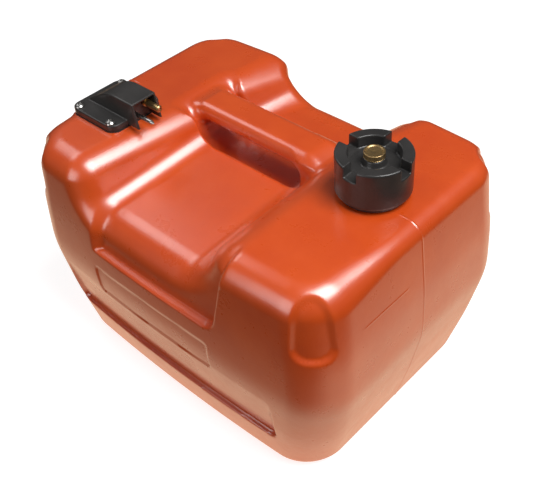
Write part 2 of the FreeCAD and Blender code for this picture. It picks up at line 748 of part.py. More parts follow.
def tank_shell():
    height = dim("body_height")
    seat_foot = height - dim("neck_root")
    neck_top = height + dim("neck_height")
    seat = body("fitting_seat")
    sketch = new_sketch(seat, "seat_line", "XY_Plane", seat_foot)
    half = dim("flange_length") / 2 - dim("seat_margin")
    x, y = dim("fitting_x"), dim("fitting_y")
    rectangle(sketch, x - half, x + half, y - half, y + half, dim("flange_corner") - dim("seat_margin"))
    pad(seat, "seat_push", sketch, dim("neck_root"))
    neck_place = (dim("cap_x"), dim("cap_y"))
    neck = cylinder("neck", *neck_place, seat_foot, neck_top, dim("neck_bore") + dim("neck_wall"))
    whole = fuse("moulding", [outer_form(), handle_bridge(), seat, neck])

    port = dim("spigot_radius") + dim("port_clearance")
    stiffening = [cylinder("port_ring", x, y, seat_foot, height, port + dim("wall"))]
    holes = [
        cylinder("port", x, y, seat_foot - dim("wall"), height + dim("wall"), port),
        cylinder("neck_throat", *neck_place, seat_foot - dim("wall"), neck_top + dim("wall"), dim("neck_bore")),
    ]
    for number_of, (along, across) in enumerate(screw_places(), start=1):
        post_foot = height - dim("insert_length") - dim("wall")
        place = (x + along, y + across)
        post_radius = dim("insert_radius") + dim("insert_post_wall")
        stiffening.append(cylinder(f"insert_post_{number_of}", *place, post_foot, height, post_radius))
        insert_foot = height - dim("insert_length")
        holes.append(cylinder(f"insert_hole_{number_of}", *place, insert_foot, height + dim("wall"), dim("insert_radius")))
    cavity = boolean("Cut", "cavity", inner_form(), fuse("stiffening", stiffening))
    return boolean("Cut", "tank_shell", whole, fuse("openings", [cavity] + holes))


# Turned and moulded small parts
def put(owner, x, y, z):
    """Set a body at a place measured from the resting face."""
    for axis, size in (("x", x), ("y", y), ("z", z)):
        bind(owner, f"Placement.Base.{axis}", size)


def turned(name, corners, lying=False):
    """A body turned about its upright axis, or about its lengthwise axis when it is lying."""
    owner = body(name)
    sketch = new_sketch(owner, f"{name}_line", "XZ_Plane")
    closed_profile(sketch, corners)
    axis = "H_Axis" if lying else "V_Axis"
    feature(owner, "Revolution", f"{name}_turn", sketch, ReferenceAxis=(sketch, [axis]), Angle=360)
    return owner


def ring_corners(inner, outer, low, high):
    """Outline of a ring's section."""
    return [(inner, low), (outer, low), (outer, high), (inner, high)]


def seal_corners(inner, low, section):
    """Outline of a sealing ring's bevelled section."""
    outer, high = inner + section, low + section
    bevel = section * dim("ring_bevel")
    return [
        (inner + bevel, low), (outer - bevel, low), (outer, low + bevel), (outer, high - bevel),
        (outer - bevel, high), (inner + bevel, high), (inner, high - bevel), (inner, low + bevel),
    ]


def lying_corners(inner, outer, start, end):
    return [(start, inner), (end, inner), (end, outer), (start, outer)]


def repeated(owner, name, originals, count):
    """Features repeated about the body's upright axis."""
    doc.recompute()
    pattern = owner.newObject("PartDesign::PolarPattern", name)
    pattern.Originals = originals
    axis = [item for item in owner.Origin.OriginFeatures if item.Role == "Z_Axis"][0]
    pattern.Axis = (axis, [""])
    pattern.Angle = 360
    bind(pattern, "Occurrences", count)
    owner.Tip = pattern
    return pattern


def at_neck(owner):
    put(owner, dim("cap_x"), dim("cap_y"), dim("body_height"))
    return owner


# Heights of the cap's parts above the shoulder
neck_rim = dim("neck_height")
gasket_foot = neck_rim + dim("baffle_flange")
deck_foot = gasket_foot + dim("gasket_thickness")
deck_top = deck_foot + dim("deck_thickness")
rim_top = deck_top + dim("rim_height")
boss_top = deck_top + dim("boss_height")
bush_foot = deck_foot - dim("bush_tail")
clip_top = bush_foot - dim("vent_travel") - dim("small_clearance")
clip_foot = clip_top - dim("clip_thickness")
skirt = dim("neck_bore") + dim("neck_wall") + dim("thread_room")


def cap_shell():
    foot = dim("cap_lift")
    collar = foot + dim("collar_height")
    bevel = dim("rim_bevel")
    owner = turned("cap_shell", [
        (skirt, foot),
        (dim("collar_radius"), foot),
        (dim("collar_radius"), collar),
        (dim("cap_radius"), collar),
        (dim("cap_radius"), rim_top - bevel),
        (dim("cap_radius") - bevel, rim_top),
        (dim("deck_radius") + bevel, rim_top),
        (dim("deck_radius"), rim_top - bevel),
        (dim("deck_radius"), deck_top),
        (dim("boss_foot"), deck_top),
        (dim("boss_top"), boss_top),
        (dim("bush_radius"), boss_top),
        (dim("bush_radius"), deck_foot),
        (skirt, deck_foot),
    ])
    sketch = new_sketch(owner, "notch_line", "XY_Plane", rim_top)
    half = dim("notch_width") / 2
    rectangle(sketch, dim("deck_radius") - bevel, dim("cap_radius") + bevel, -half, half)
    notch = pocket(owner, "notch", sketch, dim("rim_height"))
    repeated(owner, "notches", [notch], dim("notch_count"))
    return at_neck(owner)


def cap_gasket():
    inner = dim("neck_bore") - dim("baffle_clearance") - dim("baffle_wall")
    outer = skirt - dim("gasket_room")
    return at_neck(turned("cap_gasket", ring_corners(inner, outer, gasket_foot, deck_foot)))


def cap_baffle():
    """Splash cup hung in the neck by its flange, with drain holes in its floor."""
    outer = dim("neck_bore") - dim("baffle_clearance")
    foot = neck_rim - dim("baffle_depth")
    wall = dim("baffle_wall")
    edge = dim("neck_bore") + dim("neck_wall") - dim("baffle_edge")
    owner = turned("cap_baffle", [
        (0, foot),
        (outer, foot),
        (outer, neck_rim),
        (edge, neck_rim),
        (edge, gasket_foot),
        (outer - wall, gasket_foot),
        (outer - wall, foot + wall),
        (0, foot + wall),
    ])
    sketch = new_sketch(owner, "drain_line", "XY_Plane", foot + wall)
    circle(sketch, dim("drain_place"), 0, dim("baffle_hole_radius"))
    drain = pocket(owner, "drain", sketch, wall)
    repeated(owner, "drains", [drain], dim("baffle_holes"))
    return at_neck(owner)


def vent_bush():
    bore = dim("stem_radius") + dim("stem_clearance")
    return at_neck(turned("vent_bush", ring_corners(bore, dim("bush_radius"), bush_foot, boss_top)))


def vent_screw():
    """Dished knob on a grooved stem; the sealing ring sits in its underside."""
    stem, head = dim("stem_radius"), dim("vent_head_radius")
    gap, bevel = dim("small_clearance"), dim("vent_head_bevel")
    head_foot = boss_top + dim("vent_head_gap")
    head_top = head_foot + dim("vent_head_height")
    ring_roof = boss_top + dim("vent_ring_section") + gap
    groove = stem - dim("groove_depth")
    seat = stem + dim("vent_ring_section") + gap * 2
    return at_neck(turned("vent_screw", [
        (0, clip_foot - dim("stem_tail")),
        (groove, clip_foot - dim("stem_tail")),
        (groove, clip_top + gap),
        (stem, clip_top + gap),
        (stem, ring_roof),
        (seat, ring_roof),
        (seat, head_foot),
        (head, head_foot),
        (head, head_top - bevel),
        (head - bevel, head_top),
        (dim("vent_dish_radius"), head_top),
        (0, head_top - dim("vent_dish")),
    ]))


def vent_o_ring():
    inner = dim("stem_radius") + dim("small_clearance")
    corners = seal_corners(inner, boss_top + dim("vent_ring_gap"), dim("vent_ring_section"))
    return at_neck(turned("vent_o_ring", corners))


def vent_clip():
    """Open spring clip in the stem's groove."""
    inner = dim("stem_radius") - dim("groove_depth") + dim("small_clearance")
    owner = turned("vent_clip", ring_corners(inner, dim("clip_radius"), clip_foot, clip_top))
    sketch = new_sketch(owner, "clip_mouth_line", "XY_Plane", clip_top)
    half = dim("clip_mouth") / 2
    rectangle(sketch, 0, dim("clip_radius") + dim("clip_thickness"), -half, half)
    pocket(owner, "clip_mouth", sketch, dim("clip_thickness"))
    return at_neck(owner)


def at_fitting(owner):
    put(owner, dim("fitting_x"), dim("fitting_y"), dim("body_height"))
    return owner


flange_foot = dim("fitting_gasket_thickness")
flange_top = flange_foot + dim("flange_thickness")
housing_face = dim("flange_length") / 2


def screw_holes(owner, name, height, depth):
    """Four screw holes drilled down from a height."""
    sketch = new_sketch(owner, f"{name}_line", "XY_Plane", height)
    for along, across in screw_places():
        circle(sketch, along, across, dim("screw_hole"))
    return pocket(owner, name, sketch, depth)


def drilled(owner, name, plane, place, centre, radius, depth, reverse=False):
    sketch = new_sketch(owner, f"{name}_line", plane, place)
    circle(sketch, *centre, radius)
    return pocket(owner, name, sketch, depth, Reversed=reverse)


def fitting_housing():
    """Square flange with a ramped cowl over the prongs, a spigot below and the fuel passage inside."""
    owner = body("fitting_housing")
    half = dim("flange_length") / 2
    sketch = new_sketch(owner, "flange_line", "XY_Plane", flange_foot)
    rectangle(sketch, -half, half, -half, half, dim("flange_corner"))
    plate = pad(owner, "flange", sketch, dim("flange_thickness"))
    round_edges(
        owner, "flange_rounding", plate, dim("flange_edge"),
        lambda edge, one, two: edge.BoundBox.ZMin > flange_top.value - 0.01,
    )
    front, rear = dim("cowl_front"), dim("cowl_front") + dim("cowl_width")
    roof = flange_top + dim("cowl_height")
    sketch = new_sketch(owner, "cowl_line", "XZ_Plane", rear)
    closed_profile(sketch, [
        (dim("cowl_ramp_foot"), dim("cowl_floor_gap")),
        (dim("cowl_ramp_foot"), flange_top),
        (dim("cowl_ramp_top"), roof, dim("cowl_ramp_round")),
        (dim("cowl_roof_end"), roof),
        (dim("cowl_lip"), dim("cowl_floor_gap")),
    ])
    cowl = pad(owner, "cowl", sketch, dim("cowl_width"))

    def is_shoulder(edge, one, two):
        box = edge.BoundBox
        flat = box.YLength < 0.01 and (abs(box.YMin - front.value) < 0.01 or abs(box.YMin - rear.value) < 0.01)
        return flat and box.ZMin > flange_top.value - 0.01 and box.XMax < dim("cowl_roof_end").value + 0.01

    round_edges(owner, "cowl_rounding", cowl, dim("cowl_round"), is_shoulder)
    wall = dim("cowl_wall")
    sketch = new_sketch(owner, "mouth_line", "XZ_Plane", front + wall)
    rectangle(sketch, housing_face, dim("cowl_lip") * 1.5, -flange_foot, roof - wall)
    pocket(owner, "mouth", sketch, dim("cowl_width") - wall * 2)

    spigot, depth = dim("spigot_radius"), dim("port_ring_depth")
    gap = dim("small_clearance")
    groove = spigot + dim("port_clearance") - dim("port_ring_section") - gap * 2
    sketch = new_sketch(owner, "spigot_line", "XZ_Plane")
    closed_profile(sketch, [
        (0, flange_foot + gap),
        (spigot, flange_foot + gap),
        (spigot, dim("port_ring_section") + gap - depth),
        (groove, dim("port_ring_section") + gap - depth),
        (groove, -depth - gap),
        (spigot, -depth - gap),
        (spigot, -dim("spigot_reach")),
        (0, -dim("spigot_reach")),
    ])
    feature(owner, "Revolution", "spigot", sketch, ReferenceAxis=(sketch, ["V_Axis"]), Angle=360)
    foot = -dim("spigot_reach")
    prong_at, pin_at = dim("prong_height"), dim("pin_height")
    socket = dim("tube_radius") + dim("tube_clearance")
    drilled(owner, "tube_socket_bore", "XY_Plane", foot, (0, 0), socket, dim("tube_socket"), True)
    drilled(owner, "riser", "XY_Plane", foot, (0, 0), dim("passage_radius"), prong_at - foot, True)
    drilled(owner, "cross_passage", "XZ_Plane", 0, (0, prong_at), dim("cross_radius"), dim("prong_y"))
    drilled(owner, "feed", "YZ_Plane", housing_face, (dim("prong_y"), prong_at), dim("cross_radius"), housing_face)
    drilled(owner, "prong_hole", "YZ_Plane", housing_face, (dim("prong_y"), prong_at), dim("prong_root_radius"), dim("prong_root"))
    drilled(owner, "pin_hole", "YZ_Plane", housing_face, (dim("pin_y"), pin_at), dim("pin_root_radius"), dim("pin_root"))
    screw_holes(owner, "flange_holes", flange_top, dim("flange_thickness"))
    return at_fitting(owner)


def fitting_gasket():
    owner = body("fitting_gasket")
    half = dim("flange_length") / 2
    sketch = new_sketch(owner, "gasket_line", "XY_Plane")
    rectangle(sketch, -half, half, -half, half, dim("flange_corner"))
    circle(sketch, 0, 0, dim("spigot_radius") + dim("port_clearance"))
    pad(owner, "gasket_sheet", sketch, dim("fitting_gasket_thickness"))
    screw_holes(owner, "gasket_holes", flange_foot, dim("fitting_gasket_thickness"))
    return at_fitting(owner)


def four(name, corners):
    """Four alike turned parts at the flange screws."""
    parts = []
    for number_of, (along, across) in enumerate(screw_places(), start=1):
        item = turned(f"{name}_{number_of}", corners)
        put(item, dim("fitting_x") + along, dim("fitting_y") + across, dim("body_height"))
        parts.append(item)
    group = doc.addObject("Part::Compound", name)
    group.Links = parts
    return group


def flange_screws():
    head_top = flange_top + dim("screw_head_height")
    bevel = dim("screw_head_bevel")
    return four("flange_screws", [
        (0, -dim("screw_reach")),
        (dim("screw_radius"), -dim("screw_reach")),
        (dim("screw_radius"), flange_top),
        (dim("screw_head_radius"), flange_top),
        (dim("screw_head_radius"), head_top - bevel),
        (dim("screw_head_radius") - bevel, head_top),
        (0, head_top),
    ])


def flange_inserts():
    bore = dim("screw_radius") + dim("insert_clearance")
    return four("flange_inserts", ring_corners(bore, dim("insert_radius"), -dim("insert_length"), 0))


def at_prong(owner):
    put(owner, dim("fitting_x"), dim("fitting_y") + dim("prong_y"), dim("body_height") + dim("prong_height"))
    return owner


spring_start = housing_face + dim("spring_seat")
lip_back = dim("prong_end") - dim("prong_lip_length")
plunger_back = lip_back - dim("plunger_gap") - dim("plunger_length")


def fuel_prong():
    root_start = housing_face - dim("prong_root")
    collar = housing_face + dim("prong_seal_thickness")
    return at_prong(turned("fuel_prong", [
        (root_start, dim("feed_radius")),
        (spring_start, dim("feed_radius")),
        (spring_start, dim("prong_bore")),
        (lip_back, dim("prong_bore")),
        (lip_back, dim("prong_lip")),
        (dim("prong_end"), dim("prong_lip")),
        (dim("prong_end"), dim("prong_radius") - dim("prong_bevel")),
        (dim("prong_end") - dim("prong_bevel"), dim("prong_radius")),
        (collar + dim("prong_collar"), dim("prong_radius")),
        (collar + dim("prong_collar"), dim("prong_collar_radius")),
        (collar, dim("prong_collar_radius")),
        (collar, dim("prong_root_radius")),
        (root_start, dim("prong_root_radius")),
    ], lying=True))


def prong_seal():
    corners = lying_corners(
        dim("prong_root_radius"), dim("prong_collar_radius"),
        housing_face, housing_face + dim("prong_seal_thickness"),
    )
    return at_prong(turned("prong_seal", corners, lying=True))


def check_plunger():
    """Headed pin that closes the prong's mouth."""
    head = dim("prong_bore") - dim("plunger_clearance")
    front = plunger_back + dim("plunger_length")
    pin = dim("plunger_pin")
    return at_prong(turned("check_plunger", [
        (plunger_back, 0),
        (dim("prong_end") - dim("plunger_drop"), 0),
        (dim("prong_end") - dim("plunger_drop"), pin),
        (front, pin),
        (front, head),
        (plunger_back, head),
    ], lying=True))


def arc_between(start, corner, end):
    """Arc from start to end, tangent to both legs of the corner."""
    middle = (start + end) / 2
    rise = (corner - middle).Length
    half = (end - start).Length / 2
    sagitta = half * math.tan(math.atan2(rise, half) / 2)
    return Part.Arc(start, middle + (corner - middle) * (sagitta / rise), end).toShape()


def coil_edges(radius, length, turns):
    """Arcs along a helix about X, two to each third of a turn, tangent where they meet."""
    steps = int(round(turns * 3))
    swing = math.pi * 2 / 3
    edges = []

    def place(step):
        angle = swing * step
        return V(length * step / steps, radius * math.cos(angle), radius * math.sin(angle))

    def heading(step):
        angle = swing * step
        along = length / steps / swing
        return V(along, -radius * math.sin(angle), radius * math.cos(angle)).normalize()

    for step in range(steps):
        start, end = place(step), place(step + 1)
        leave, arrive = heading(step), heading(step + 1)
        chord, total = end - start, leave + arrive
        spread = 2 * (1 - leave.dot(arrive))
        reach = (math.sqrt(chord.dot(total) ** 2 + 2 * spread * chord.dot(chord)) - chord.dot(total)) / spread
        first, second = start + leave * reach, end - arrive * reach
        joint = (first + second) / 2
        edges.append(arc_between(start, first, joint))
        edges.append(arc_between(joint, second, end))
    return edges


def check_spring():
    """Coil spring of square wire between the plunger and the seat in the prong."""
    radius, wire = dim("spring_radius").value, dim("spring_wire").value
    gap = dim("small_clearance").value
    start, end = spring_start.value + wire + gap, plunger_back.value - wire - gap
    path = Part.Wire(coil_edges(radius, end - start, dim("spring_turns").value))
    first = path.Edges[0]
    heading = first.tangentAt(first.FirstParameter)
    foot = first.valueAt(first.FirstParameter)
    outward = V(0, foot.y, foot.z).normalize() * wire
    across = heading.cross(outward)
    square = [foot + outward, foot + across, foot - outward, foot - across, foot + outward]
    item = doc.addObject("Part::Feature", "check_spring")
    item.Shape = path.makePipeShell([Part.makePolygon(square)], True, False)
    x = dim("fitting_x") + start
    put(item, x, dim("fitting_y") + dim("prong_y"), dim("body_height") + dim("prong_height"))
    pitch = (end - start) / dim("spring_turns").value
    print(f"check spring: {pitch - 2 * wire:.2f} mm between turns")
    return item


def guide_pin():
    """Locating pin with a retaining groove and a blunt point."""
    root_start = housing_face - dim("pin_root")
    groove_end = dim("pin_end") - dim("pin_groove_place")
    groove_start = groove_end - dim("pin_groove_width")
    radius = dim("pin_radius")
    waist = radius - dim("pin_groove_depth")
    owner = turned("guide_pin", [
        (root_start, 0),
        (dim("pin_end"), 0),
        (dim("pin_end"), dim("pin_flat")),
        (dim("pin_end") - dim("pin_point"), radius),
        (groove_end, radius),
        (groove_end, waist),
        (groove_start, waist),
        (groove_start, radius),
        (housing_face, radius),
        (housing_face, dim("pin_root_radius")),
        (root_start, dim("pin_root_radius")),
    ], lying=True)
    put(owner, dim("fitting_x"), dim("fitting_y") + dim("pin_y"), dim("body_height") + dim("pin_height"))
    return owner


# Heights of the pickup's parts, measured from the shoulder
strainer_foot = dim("wall") + dim("pickup_clearance") - dim("body_height")
strainer_top = strainer_foot + dim("strainer_length")
strainer_roof = strainer_top - dim("strainer_rim")
tube_hole = dim("tube_radius") + dim("tube_clearance")


def pickup_tube():
    top = dim("tube_socket") - dim("spigot_reach")
    corners = ring_corners(dim("tube_radius") - dim("tube_wall"), dim("tube_radius"), strainer_roof, top)
    return at_fitting(turned("pickup_tube", corners))


def pickup_collar():
    top = -dim("spigot_reach")
    corners = ring_corners(tube_hole, dim("spigot_radius"), top - dim("collar_length"), top)
    return at_fitting(turned("pickup_collar", corners))


def pickup_seal():
    section = dim("port_ring_section")
    outer = dim("spigot_radius") + dim("port_clearance") - dim("small_clearance")
    corners = seal_corners(outer - section, -dim("port_ring_depth"), section)
    return at_fitting(turned("pickup_seal", corners))


def strainer_cage():
    """Cup with windows round it, pushed onto the foot of the pickup tube."""
    outer, wall = dim("strainer_radius"), dim("strainer_wall")
    owner = turned("strainer_cage", [
        (0, strainer_foot),
        (outer, strainer_foot),
        (outer, strainer_top),
        (tube_hole, strainer_top),
        (tube_hole, strainer_roof),
        (outer - wall, strainer_roof),
        (outer - wall, strainer_foot + wall),
        (0, strainer_foot + wall),
    ])
    sketch = new_sketch(owner, "window_line", "YZ_Plane", 0)
    half = dim("strainer_window") / 2
    rectangle(sketch, -half, half, strainer_foot + dim("strainer_rim"), strainer_roof - dim("strainer_rim"), dim("window_round"))
    window = pocket(owner, "window", sketch, outer, Reversed=True)
    repeated(owner, "windows", [window], dim("strainer_ribs"))
    return at_fitting(owner)


def strainer_mesh():
    outer = dim("strainer_radius") - dim("strainer_wall") - dim("small_clearance")
    low = strainer_foot + dim("strainer_wall")
    corners = ring_corners(outer - dim("mesh_thickness"), outer, low, strainer_roof)
    return at_fitting(turned("strainer_mesh", corners))


# Assembly
parts = [
    tank_shell(), cap_shell(), cap_gasket(), cap_baffle(), vent_bush(), vent_screw(), vent_o_ring(), vent_clip(),
    fitting_housing(), fitting_gasket(), flange_screws(), flange_inserts(), fuel_prong(), prong_seal(),
    check_plunger(), check_spring(), guide_pin(), pickup_tube(), pickup_collar(), pickup_seal(),
    strainer_cage(), strainer_mesh(),
]
doc.recompute()
for item in doc.Objects:
    if "Invalid" in item.State or "Error" in item.State:
        raise RuntimeError(f"{item.Name} did not rebuild: {item.State}")
os.makedirs("parts", exist_ok=True)
for item in parts:
    if item.Shape.isNull() or not item.Shape.isValid():
        raise RuntimeError(f"{item.Name} has no valid solid")
    item.Shape.exportStep(f"parts/{item.Label}.step")
    box = item.Shape.BoundBox
    print(f"{item.Label}: {len(item.Shape.Solids)} solid(s), {item.Shape.Volume / 1000:.2f} cm3, "
          f"x {box.XMin:.1f} {box.XMax:.1f}, y {box.YMin:.1f} {box.YMax:.1f}, z {box.ZMin:.1f} {box.ZMax:.1f}")
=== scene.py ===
import math

import bpy
import numpy as np
from mathutils import Matrix, Vector


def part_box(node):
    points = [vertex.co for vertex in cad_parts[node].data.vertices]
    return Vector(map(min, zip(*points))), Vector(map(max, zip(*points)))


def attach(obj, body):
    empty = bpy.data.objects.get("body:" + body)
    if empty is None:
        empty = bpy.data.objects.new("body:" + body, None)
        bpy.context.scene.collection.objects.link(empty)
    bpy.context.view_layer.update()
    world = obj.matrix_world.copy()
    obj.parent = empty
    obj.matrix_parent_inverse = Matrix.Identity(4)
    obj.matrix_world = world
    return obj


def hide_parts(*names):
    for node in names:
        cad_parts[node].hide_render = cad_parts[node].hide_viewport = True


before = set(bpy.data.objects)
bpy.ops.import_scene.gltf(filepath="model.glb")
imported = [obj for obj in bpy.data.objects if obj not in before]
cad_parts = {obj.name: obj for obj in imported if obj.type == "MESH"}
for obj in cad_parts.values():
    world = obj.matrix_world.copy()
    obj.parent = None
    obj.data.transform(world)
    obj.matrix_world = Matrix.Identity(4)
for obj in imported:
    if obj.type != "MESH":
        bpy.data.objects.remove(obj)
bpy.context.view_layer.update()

MM = 0.001


# Places that come from the frame, in millimetres
def node_box(node):
    """Lowest and highest corner of a CAD node."""
    low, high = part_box(node)
    return np.array(low) / MM, np.array(high) / MM


def node_middle(node):
    low, high = node_box(node)
    return (low + high) / 2


tank_low, tank_high = node_box("tank_shell")
SHOULDER = node_box("fitting_gasket")[0][2]
HALF_LENGTH = tank_high[0]
HALF_DEPTH = tank_high[1]
NECK_RIM = tank_high[2]
CAP = node_middle("cap_gasket")
FITTING = node_middle("fitting_gasket")


# Distance fields: negative inside a solid, in millimetres
def meet(one, two, rounding):
    """Overlap of two solids, their shared edge rounded."""
    corner = np.hypot(np.maximum(one + rounding, 0), np.maximum(two + rounding, 0))
    return np.minimum(np.maximum(one, two), -rounding) + corner


def join(one, two, blend):
    """Two solids run together with a fillet."""
    corner = np.hypot(np.maximum(blend - one, 0), np.maximum(blend - two, 0))
    return np.maximum(np.minimum(one, two), blend) - corner


def cut(one, tool, rounding):
    """The first solid less the tool, the new edge rounded."""
    return meet(one, -tool, rounding)


def between(value, low, high):
    """Field of the slab from low to high."""
    return np.maximum(low - value, value - high)


def soft_step(value, width):
    """1 well inside a field, 0 well outside, changing over the width."""
    share = np.clip(0.5 - value / width, 0, 1)
    return share * share * (3 - 2 * share)


def slope_side(x, z, foot, top):
    """Distance to the right of the line from foot to top, both (x, z)."""
    run, rise = top[0] - foot[0], top[1] - foot[1]
    return ((x - foot[0]) * rise - (z - foot[1]) * run) / np.hypot(run, rise)


# Surfaces from fields
def graded(low, high, coarse, zones):
    """Grid lines from low to high; each zone (start, end, step) has its own spacing."""
    lines = [low]
    while lines[-1] < high:
        here = lines[-1]
        step = coarse
        for start, end, fine in zones:
            if start - coarse < here < end:
                step = min(step, fine)
        lines.append(here + step)
    return np.array(lines)


CELL_EDGES = [
    ((a, b, c), tuple(np.add((a, b, c), step)))
    for step in ((1, 0, 0), (0, 1, 0), (0, 0, 1))
    for a in (0, 1) for b in (0, 1) for c in (0, 1)
    if not (a and step[0]) and not (b and step[1]) and not (c and step[2])
]


def settle(field, points, reach, rounds=4):
    """Moves points onto the field's surface along its slope."""
    step = 0.02
    for _ in range(rounds):
        value = field(*points.T)
        slope = np.empty_like(points)
        for axis in range(3):
            ahead, behind = points.copy(), points.copy()
            ahead[:, axis] += step
            behind[:, axis] -= step
            slope[:, axis] = (field(*ahead.T) - field(*behind.T)) / (2 * step)
        size = np.maximum((slope ** 2).sum(1), 0.2)
        move = slope * (value / size)[:, None]
        length = np.linalg.norm(move, axis=1)[:, None]
        points = points - move * np.minimum(1, reach / np.maximum(length, 1e-9))
    return points


def surface(field, xs, ys, zs, reach=0.9):
    """Quad surface where the field is zero, on the grid of the three lists of lines."""
    values = field(xs[:, None, None], ys[None, :, None], zs[None, None, :])
    inside = values < 0
    total = np.zeros([n - 1 for n in inside.shape], int)
    for a in (0, 1):
        for b in (0, 1):
            for c in (0, 1):
                total += inside[a:a + total.shape[0], b:b + total.shape[1], c:c + total.shape[2]]
    cells = np.argwhere((total > 0) & (total < 8))
    lines = (xs, ys, zs)
    place, count = np.zeros((len(cells), 3)), np.zeros(len(cells))
    for first, second in CELL_EDGES:
        one, two = cells + first, cells + second
        a, b = values[tuple(one.T)], values[tuple(two.T)]
        crossing = (a < 0) != (b < 0)
        share = np.where(crossing, a / np.where(a == b, 1, a - b), 0)
        for axis in range(3):
            start, end = lines[axis][one[:, axis]], lines[axis][two[:, axis]]
            place[:, axis] += np.where(crossing, start + (end - start) * share, 0)
        count += crossing
    place /= count[:, None]
    index = np.full(total.shape, -1)
    index[tuple(cells.T)] = np.arange(len(cells))
    faces = []
    for axis in range(3):
        side = [n for n in range(3) if n != axis]
        trim = [slice(1, -1)] * 3
        low, high = list(trim), list(trim)
        low[axis], high[axis] = slice(0, -1), slice(1, None)
        one, two = inside[tuple(low)], inside[tuple(high)]
        for wanted, order in (((one & ~two), 1), ((~one & two), -1)):
            spots = np.argwhere(wanted)
            spots[:, side] += 1
            ring = []
            for back in ((1, 1), (0, 1), (0, 0), (1, 0)):
                cell = spots.copy()
                cell[:, side[0]] -= back[0]
                cell[:, side[1]] -= back[1]
                ring.append(index[tuple(cell.T)])
            flip = order if axis != 1 else -order
            faces.append(np.stack(ring[::flip], 1))
    return settle(field, place, reach), np.concatenate(faces)


def new_object(name, points, faces, material, place=(0, 0, 0), smooth_angle=None):
    """A mesh object from millimetre points."""
    mesh = bpy.data.meshes.new(name)
    mesh.from_pydata(((np.asarray(points) + place) * MM).tolist(), [], [list(face) for face in faces])
    mesh.validate()
    mesh.polygons.foreach_set("use_smooth", [True] * len(mesh.polygons))
    if smooth_angle is not None:
        mesh.set_sharp_from_angle(angle=math.radians(smooth_angle))
    mesh.materials.append(material)
    thing = bpy.data.objects.new(name, mesh)
    bpy.context.scene.collection.objects.link(thing)
    return thing


def rounded_outline(corners):
    """Points through corners (r, z) or (r, z, rounding) of a closed outline, arcs sampled."""
    points = []
    count = len(corners)
    for place, corner in enumerate(corners):
        here = np.array(corner[:2], float)
        if len(corner) < 3:
            points.append(here)
            continue
        back = np.array(corners[place - 1][:2], float) - here
        ahead = np.array(corners[(place + 1) % count][:2], float) - here
        back /= np.linalg.norm(back)
        ahead /= np.linalg.norm(ahead)
        half = math.acos(np.clip(back @ ahead, -1, 1)) / 2
        middle = (back + ahead) / np.linalg.norm(back + ahead)
        centre = here + middle * corner[2] / math.sin(half)
        first, last = here + back * corner[2] / math.tan(half), here + ahead * corner[2] / math.tan(half)
        start, end = math.atan2(*(first - centre)[::-1]), math.atan2(*(last - centre)[::-1])
        turn = (end - start + math.pi) % (2 * math.pi) - math.pi
        steps = 6
        for step in range(steps + 1):
            angle = start + turn * step / steps
            points.append(centre + corner[2] * np.array([math.cos(angle), math.sin(angle)]))
    return points


def turned(name, corners, material, place, lying=False, sides=96, shape=None):
    """Closed outline (radius, height) turned about Z, or about X when lying; shape may change each radius."""
    outline = np.array(rounded_outline(corners))
    angles = np.arange(sides) * 2 * math.pi / sides
    radius, height = outline[:, 0][None, :], outline[:, 1][None, :]
    turn = angles[:, None]
    if shape is not None:
        radius, height = shape(radius, height, turn)
    radius, height = np.broadcast_arrays(radius + 0 * turn, height + 0 * turn)
    points = np.stack([radius * np.cos(turn), radius * np.sin(turn), height], 2).reshape(-1, 3)
    if lying:
        points = points[:, [2, 0, 1]]
    count = len(outline)
    faces = []
    for side in range(sides):
        ahead = (side + 1) % sides
        for spot in range(count):
            after = (spot + 1) % count
            faces.append((side * count + spot, ahead * count + spot, ahead * count + after, side * count + after))
    return new_object(name, points, faces, material, place, smooth_angle=35)


# Materials
def feed(tree, socket, value):
    """Links the value into the socket if it is another socket, and sets it there if not."""
    if isinstance(value, bpy.types.NodeSocket):
        tree.links.new(value, socket)
    else:
        socket.default_value = value


class Recipe:
    """A node material with one principled surface."""

    def __init__(self, name):
        self.material = bpy.data.materials.new(name)
        self.material.use_nodes = True
        self.tree = self.material.node_tree
        self.surface = self.tree.nodes["Principled BSDF"]
        coordinates = self.tree.nodes.new("ShaderNodeTexCoord")
        self.where = coordinates.outputs["Object"]

    def node(self, kind, inputs=None, **settings):
        node = self.tree.nodes.new(kind)
        for key, value in settings.items():
            setattr(node, key, value)
        for key, value in (inputs or {}).items():
            feed(self.tree, node.inputs[key], value)
        return node

    def noise(self, scale, detail=4, roughness=0.5, stretch=None):
        where = self.where
        if stretch is not None:
            where = self.node("ShaderNodeMapping", {"Vector": where, "Scale": stretch}).outputs["Vector"]
        return self.node(
            "ShaderNodeTexNoise",
            {"Vector": where, "Scale": scale, "Detail": detail, "Roughness": roughness},
        ).outputs["Fac"]

    def spread(self, value, low, high, start=0.3, end=0.7):
        return self.node(
            "ShaderNodeMapRange",
            {"Value": value, "From Min": start, "From Max": end, "To Min": low, "To Max": high},
        ).outputs["Result"]

    def blend(self, share, one, two):
        node = self.node("ShaderNodeMix", data_type="RGBA")
        for socket, value in ((node.inputs[0], share), (node.inputs[6], one), (node.inputs[7], two)):
            feed(self.tree, socket, value)
        return node.outputs[2]

    def maths(self, operation, one, two):
        return self.node("ShaderNodeMath", {0: one, 1: two}, operation=operation).outputs[0]

    def set(self, **values):
        for key, value in values.items():
            feed(self.tree, self.surface.inputs[key.replace("_", " ")], value)

    def bump(self, height, strength, distance):
        node = self.node("ShaderNodeBump", {"Height": height, "Strength": strength, "Distance": distance})
        self.tree.links.new(node.outputs["Normal"], self.surface.inputs["Normal"])


def colour(red, green, blue):
    return (red, green, blue, 1)


